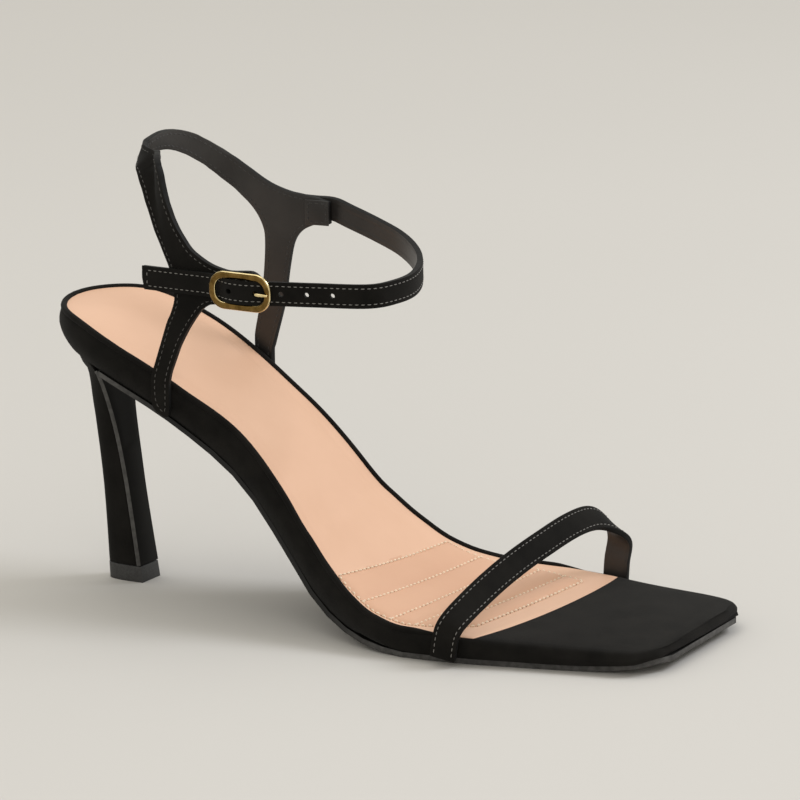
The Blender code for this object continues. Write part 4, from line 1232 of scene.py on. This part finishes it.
def make_footbed():
    """The nubuck-wrapped board with its toe cover."""
    footbed = copied("footbed", "footbed_look")
    open_mesh(footbed, "DESELECT")
    close_mesh()
    points = coords(footbed) - PLACE
    bottom = underside(points[:, 0])
    above = points[:, 2] - bottom
    height = above / (topside(points[:, 0]) - bottom)
    toe = (points[:, 0] > INSOLE_FRONT + 6 * MM) & (height > 0.5)
    footbed.data.vertices.foreach_set("select", toe)
    low = (points[:, 0] > 30 * MM) & (above > BAND_FOOT) & (above < BAND_WIDEST) & (height < 0.6)
    points[:, 2] -= np.where(low, np.minimum(BAND_DROP, above - BAND_FOOT), 0.0)
    tip = rise(points[:, 0], TIP_START, TIP_REACH)
    under = fall(points[:, 2] - bottom, 3.0 * MM, 1.3 * MM)
    points[:, 0] += (1.1 * under - 0.5) * MM * tip
    points[:, 1] *= 1.0 + 0.025 * under * tip
    set_coords(footbed, rounder_toe(points) + PLACE)
    bpy.ops.object.mode_set(mode="EDIT")
    bpy.ops.mesh.vertices_smooth(factor=0.5, repeat=5, xaxis=False, yaxis=False)
    close_mesh()
    round_over(footbed, 45.0)
    dress(footbed, "footbed", "nubuck", nubuck)
    make_rim()


def make_outsole():
    """The outsole with its grey cut edge."""
    outsole = copied("outsole", "outsole_look")
    open_mesh(outsole)
    bpy.ops.mesh.bisect(
        plane_co=tuple(np.array(BREAST_TOP) * MM + PLACE),
        plane_no=BREAST_SLANT, use_fill=True, clear_outer=True)
    close_mesh()
    points = coords(outsole) - PLACE
    x, y, z = points.T.copy()
    fore = rise(x, FOREPART_START, FOREPART_REACH)
    points[:, 1] -= np.sign(y) * 0.6 * MM * fore * (np.abs(y) > 20 * MM)
    points[:, 0] -= 0.4 * MM * rise(x, TIP_START, TIP_REACH)
    upper = (x > 60 * MM) & (z - underside(x) > 0.9 * MM)
    points[:, 2] += np.where(upper, 0.3 * MM, 0.0)
    set_coords(outsole, rounder_toe(points) + PLACE)
    soften(outsole, 0.4 * MM)
    cover(outsole, sole_rubber, cut_edge)
    toe = solid_box[1][0] - 30 * MM

    def by_edge(centre, normal):
        """The cut edge on the sides and round the toe, the sole elsewhere."""
        if centre.x < HEEL_BACK + 60 * MM:
            return 1 if abs(normal.y) > 0.55 else 0
        sideways = abs(normal.y) > 0.2 or centre.x > toe
        return 1 if -0.97 < normal.z < 0.3 and sideways else 0

    # Faces given the cut edge's material carry its painted grey highlight, darkened as painted
    # shade towards the arch
    tag_faces(outsole, by_edge)
    dress(outsole, "outsole", "sole_rubber")


def make_heel():
    """The covered heel, its seat drawn in under the footbed's band."""
    heel = copied("heel", "heel_look")
    points = coords(heel)
    x, y, _ = (points - PLACE).T
    seat = rise(points[:, 2], SEAT_DRAW, 2.0 * MM) * (x < 14 * MM)
    points[:, 0] += 0.6 * MM * seat
    points[:, 1] -= np.sign(y) * 0.5 * MM * seat * (np.abs(y) > 6 * MM)
    set_coords(heel, points)
    soften(heel, 0.2 * MM)
    dress(heel, "heel", "nubuck", nubuck)


def make_top_piece():
    """The top piece with its softened corners."""
    top_piece = copied("top_piece", "top_piece_look")
    soften(top_piece, 0.4 * MM, segments=3, angle=40.0)
    dress(top_piece, "top_piece", "top_piece_rubber", tread_rubber)


def wire(name, path, diameter, closed=False, radii=None):
    """A round wire along a path, as a mesh."""
    clear_selection()
    curve = bpy.data.curves.new(name, "CURVE")
    curve.dimensions = "3D"
    curve.bevel_depth = diameter / 2
    curve.bevel_resolution = 5
    curve.use_fill_caps = not closed
    spline = curve.splines.new("POLY")
    spline.points.add(len(path) - 1)
    radii = np.ones(len(path)) if radii is None else radii
    for spot, point, radius in zip(spline.points, path, radii):
        spot.co = (*point, 1.0)
        spot.radius = radius
    spline.use_cyclic_u = closed
    make_active(placed(name, curve))
    bpy.ops.object.convert(target="MESH")
    piece = bpy.context.object
    open_mesh(piece)
    bpy.ops.mesh.remove_doubles(threshold=MERGE)
    bpy.ops.mesh.normals_make_consistent(inside=False)
    close_mesh()
    piece.data.shade_smooth()
    return piece


def make_buckle():
    """The gold buckle: flat-banded frame, centre bar and prong."""
    _, _, outward = side_frame()
    out = np.array([outward[0], outward[1], 0.0])
    half_l = (BUCKLE_LENGTH - BUCKLE_BAND) / 2
    half_h = (FRAME_HEIGHT - BUCKLE_BAND) / 2
    corners = ((-half_l, -half_h), (half_l, -half_h), (half_l, half_h), (-half_l, half_h))
    loop = rounded_path(corners, (FRAME_CORNER - BUCKLE_BAND / 2,) * 4, closed=True)
    path = [side_point(a, FRAME_OUT, up) + PLACE for a, up in loop]
    ring = wire("buckle_frame_look", path, BUCKLE_BAND, closed=True)
    points = coords(ring)
    plane = side_point(0.0, FRAME_OUT, 0.0) + PLACE
    depth = (points - plane) @ out
    points -= np.outer(depth * (1.0 - BUCKLE_WIRE / BUCKLE_BAND * 0.9), out)
    set_coords(ring, points)
    cover(ring, gold, dark_reflection_gold)
    # The frame's flat face, turned outwards, takes the dark gold of a painted reflection; its
    # rounded edges stay bright gold
    middle = Vector(out)
    tag_faces(ring, lambda centre, normal: 1 if normal.dot(middle) > 0.72 else 0)
    post = FRAME_HEIGHT / 2 - BUCKLE_BAND * 0.5
    bend = [(FRAME_OUT, -post), (BAR_CENTRE + 0.5 * MM, -post + 0.25 * MM),
            (BAR_CENTRE, -post + 0.9 * MM), (BAR_CENTRE, 0.0), (BAR_CENTRE, post - 0.9 * MM),
            (BAR_CENTRE + 0.5 * MM, post - 0.25 * MM), (FRAME_OUT, post)]
    bar = wire("centre_bar", [side_point(0.0, n, up) + PLACE for n, up in bend],
               BUCKLE_WIRE * 0.94)
    clear_selection()
    bar.select_set(True)
    ring.select_set(True)
    bpy.context.view_layer.objects.active = ring
    bpy.ops.object.join()
    dress(ring, "buckle_frame", "gold_metal")
    eye = BUCKLE_WIRE / 2 + 0.1 * MM + PRONG_WIRE / 2
    half = (BUCKLE_LENGTH - BUCKLE_WIRE) / 2
    points = []
    for k in range(13):
        turn = math.radians(-60 - 240 * k / 12)
        points.append((eye * math.cos(turn), BAR_CENTRE + eye * math.sin(turn)))
    over = FRAME_OUT + BUCKLE_WIRE / 2 + 0.1 * MM + PRONG_WIRE / 2
    points += [(a * half, BAR_CENTRE + n * (over - BAR_CENTRE)) for a, n in PRONG_ROWS]
    path = smooth_path([side_point(a, n, 0.0) + PLACE for a, n in points], 4)
    radii = np.ones(len(path))
    radii[-6:] = (0.98, 0.95, 0.90, 0.82, 0.70, 0.45)
    prong = wire("buckle_prong_look", path, PRONG_WIRE, radii=radii)
    dress(prong, "buckle_prong", "gold_metal", gold)


def make_small_leather():
    """The buckle's tab and the lining patch with its square of stitches."""
    tab = copied("buckle_tab", "buckle_tab_look")
    soften(tab, 0.2 * MM)
    dress(tab, "buckle_tab", "lining", nubuck)
    patch = copied("strap_patch", "strap_patch_look")
    points = coords(patch)
    low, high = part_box("strap_patch")
    front = points[:, 0] > (low[0] + high[0]) / 2
    points[:, 1] = high[1] + (points[:, 1] - high[1]) * np.where(front, 0.40, 0.75)
    set_coords(patch, points)
    soften(patch, 0.3 * MM, segments=3)
    dress(patch, "strap_patch", "lining", lining)
    inset = 1.0 * MM
    x1, x2 = low[0] + inset, high[0] - inset
    z1, z2 = low[2] + inset, high[2] - inset
    square = [(x1, z1), (x2, z1), (x2, z2), (x1, z2), (x1, z1)]
    lines = []
    for (xa, za), (xb, zb) in zip(square[:-1], square[1:]):
        share = np.linspace(0.0, 1.0, 8)
        x = xa + (xb - xa) * share
        y = np.interp(x, (low[0], high[0]),
                      (high[1] - (high[1] - low[1]) * 0.75, high[1] - 0.36 * MM))
        z = za + (zb - za) * share
        outs = np.tile((0.0, -1.0, 0.0), (8, 1))
        lines.append((np.stack((x, y, z), axis=1), outs))
    sew("strap_patch_stitches", lines, dark_thread)


def lamp(name, place, size, power, colour):
    """A soft square studio lamp that faces the shoe."""
    light = bpy.data.lights.new(name, "AREA")
    light.shape = "RECTANGLE"
    light.size = light.size_y = size
    light.energy = power
    light.color = colour
    piece = placed(name, light)
    piece.location = place
    piece.rotation_euler = (Vector(LIT_PLACE) - Vector(place)).to_track_quat("-Z", "Y").to_euler()


def make_studio():
    """Pale floor, soft lamps and even sky."""
    clear_selection()
    bpy.ops.mesh.primitive_plane_add(size=14.0, location=(0.0, 3.0, 0.0))
    floor = bpy.context.object
    floor.name = "studio_floor"
    bpy.ops.object.transform_apply(location=True)
    cover(floor, paper)
    world = bpy.data.worlds.new("studio")
    bpy.context.scene.world = world
    world.use_nodes = True
    sky = world.node_tree.nodes["Background"]
    sky.inputs["Color"].default_value = (1.0, 0.985, 0.92, 1.0)
    sky.inputs["Strength"].default_value = 0.72
    lamp("key_lamp", (1.35, 0.75, 1.55), 0.9, 21.0, (0.88, 0.92, 1.0))
    lamp("fill_lamp", (0.6, -1.6, 0.9), 1.2, 3.0, (1.0, 0.98, 0.95))
    lamp("top_lamp", (-0.4, 0.2, 1.7), 1.4, 6.0, (1.0, 0.99, 0.97))
    bpy.context.scene.view_settings.view_transform = "Standard"


def make_camera():
    """The photograph's point of view, aimed at the shoe."""
    camera = bpy.data.cameras.new("camera")
    piece = placed("camera", camera)
    place = Vector(np.array(CAMERA_PLACE) * MM + PLACE)
    back = (place - Vector(AIM)).normalized()
    right = Vector((0.0, 0.0, 1.0)).cross(back).normalized()
    up = back.cross(right)
    turn = math.radians(ROLL)
    right, up = (
        right * math.cos(turn) + up * math.sin(turn),
        up * math.cos(turn) - right * math.sin(turn),
    )
    pose = Matrix((right, up, back)).transposed().to_4x4()
    pose.translation = place
    piece.matrix_world = pose
    camera.sensor_width = 36.0
    camera.lens = LENS
    camera.clip_end = 30.0
    bpy.context.scene.camera = piece


make_camera()
make_studio()
make_footbed()
make_insole()
make_outsole()
make_heel()
make_top_piece()
make_rear_upper()
make_vamp_strap()
make_ankle_strap()
make_small_leather()
make_buckle()

bpy.context.view_layer.update()
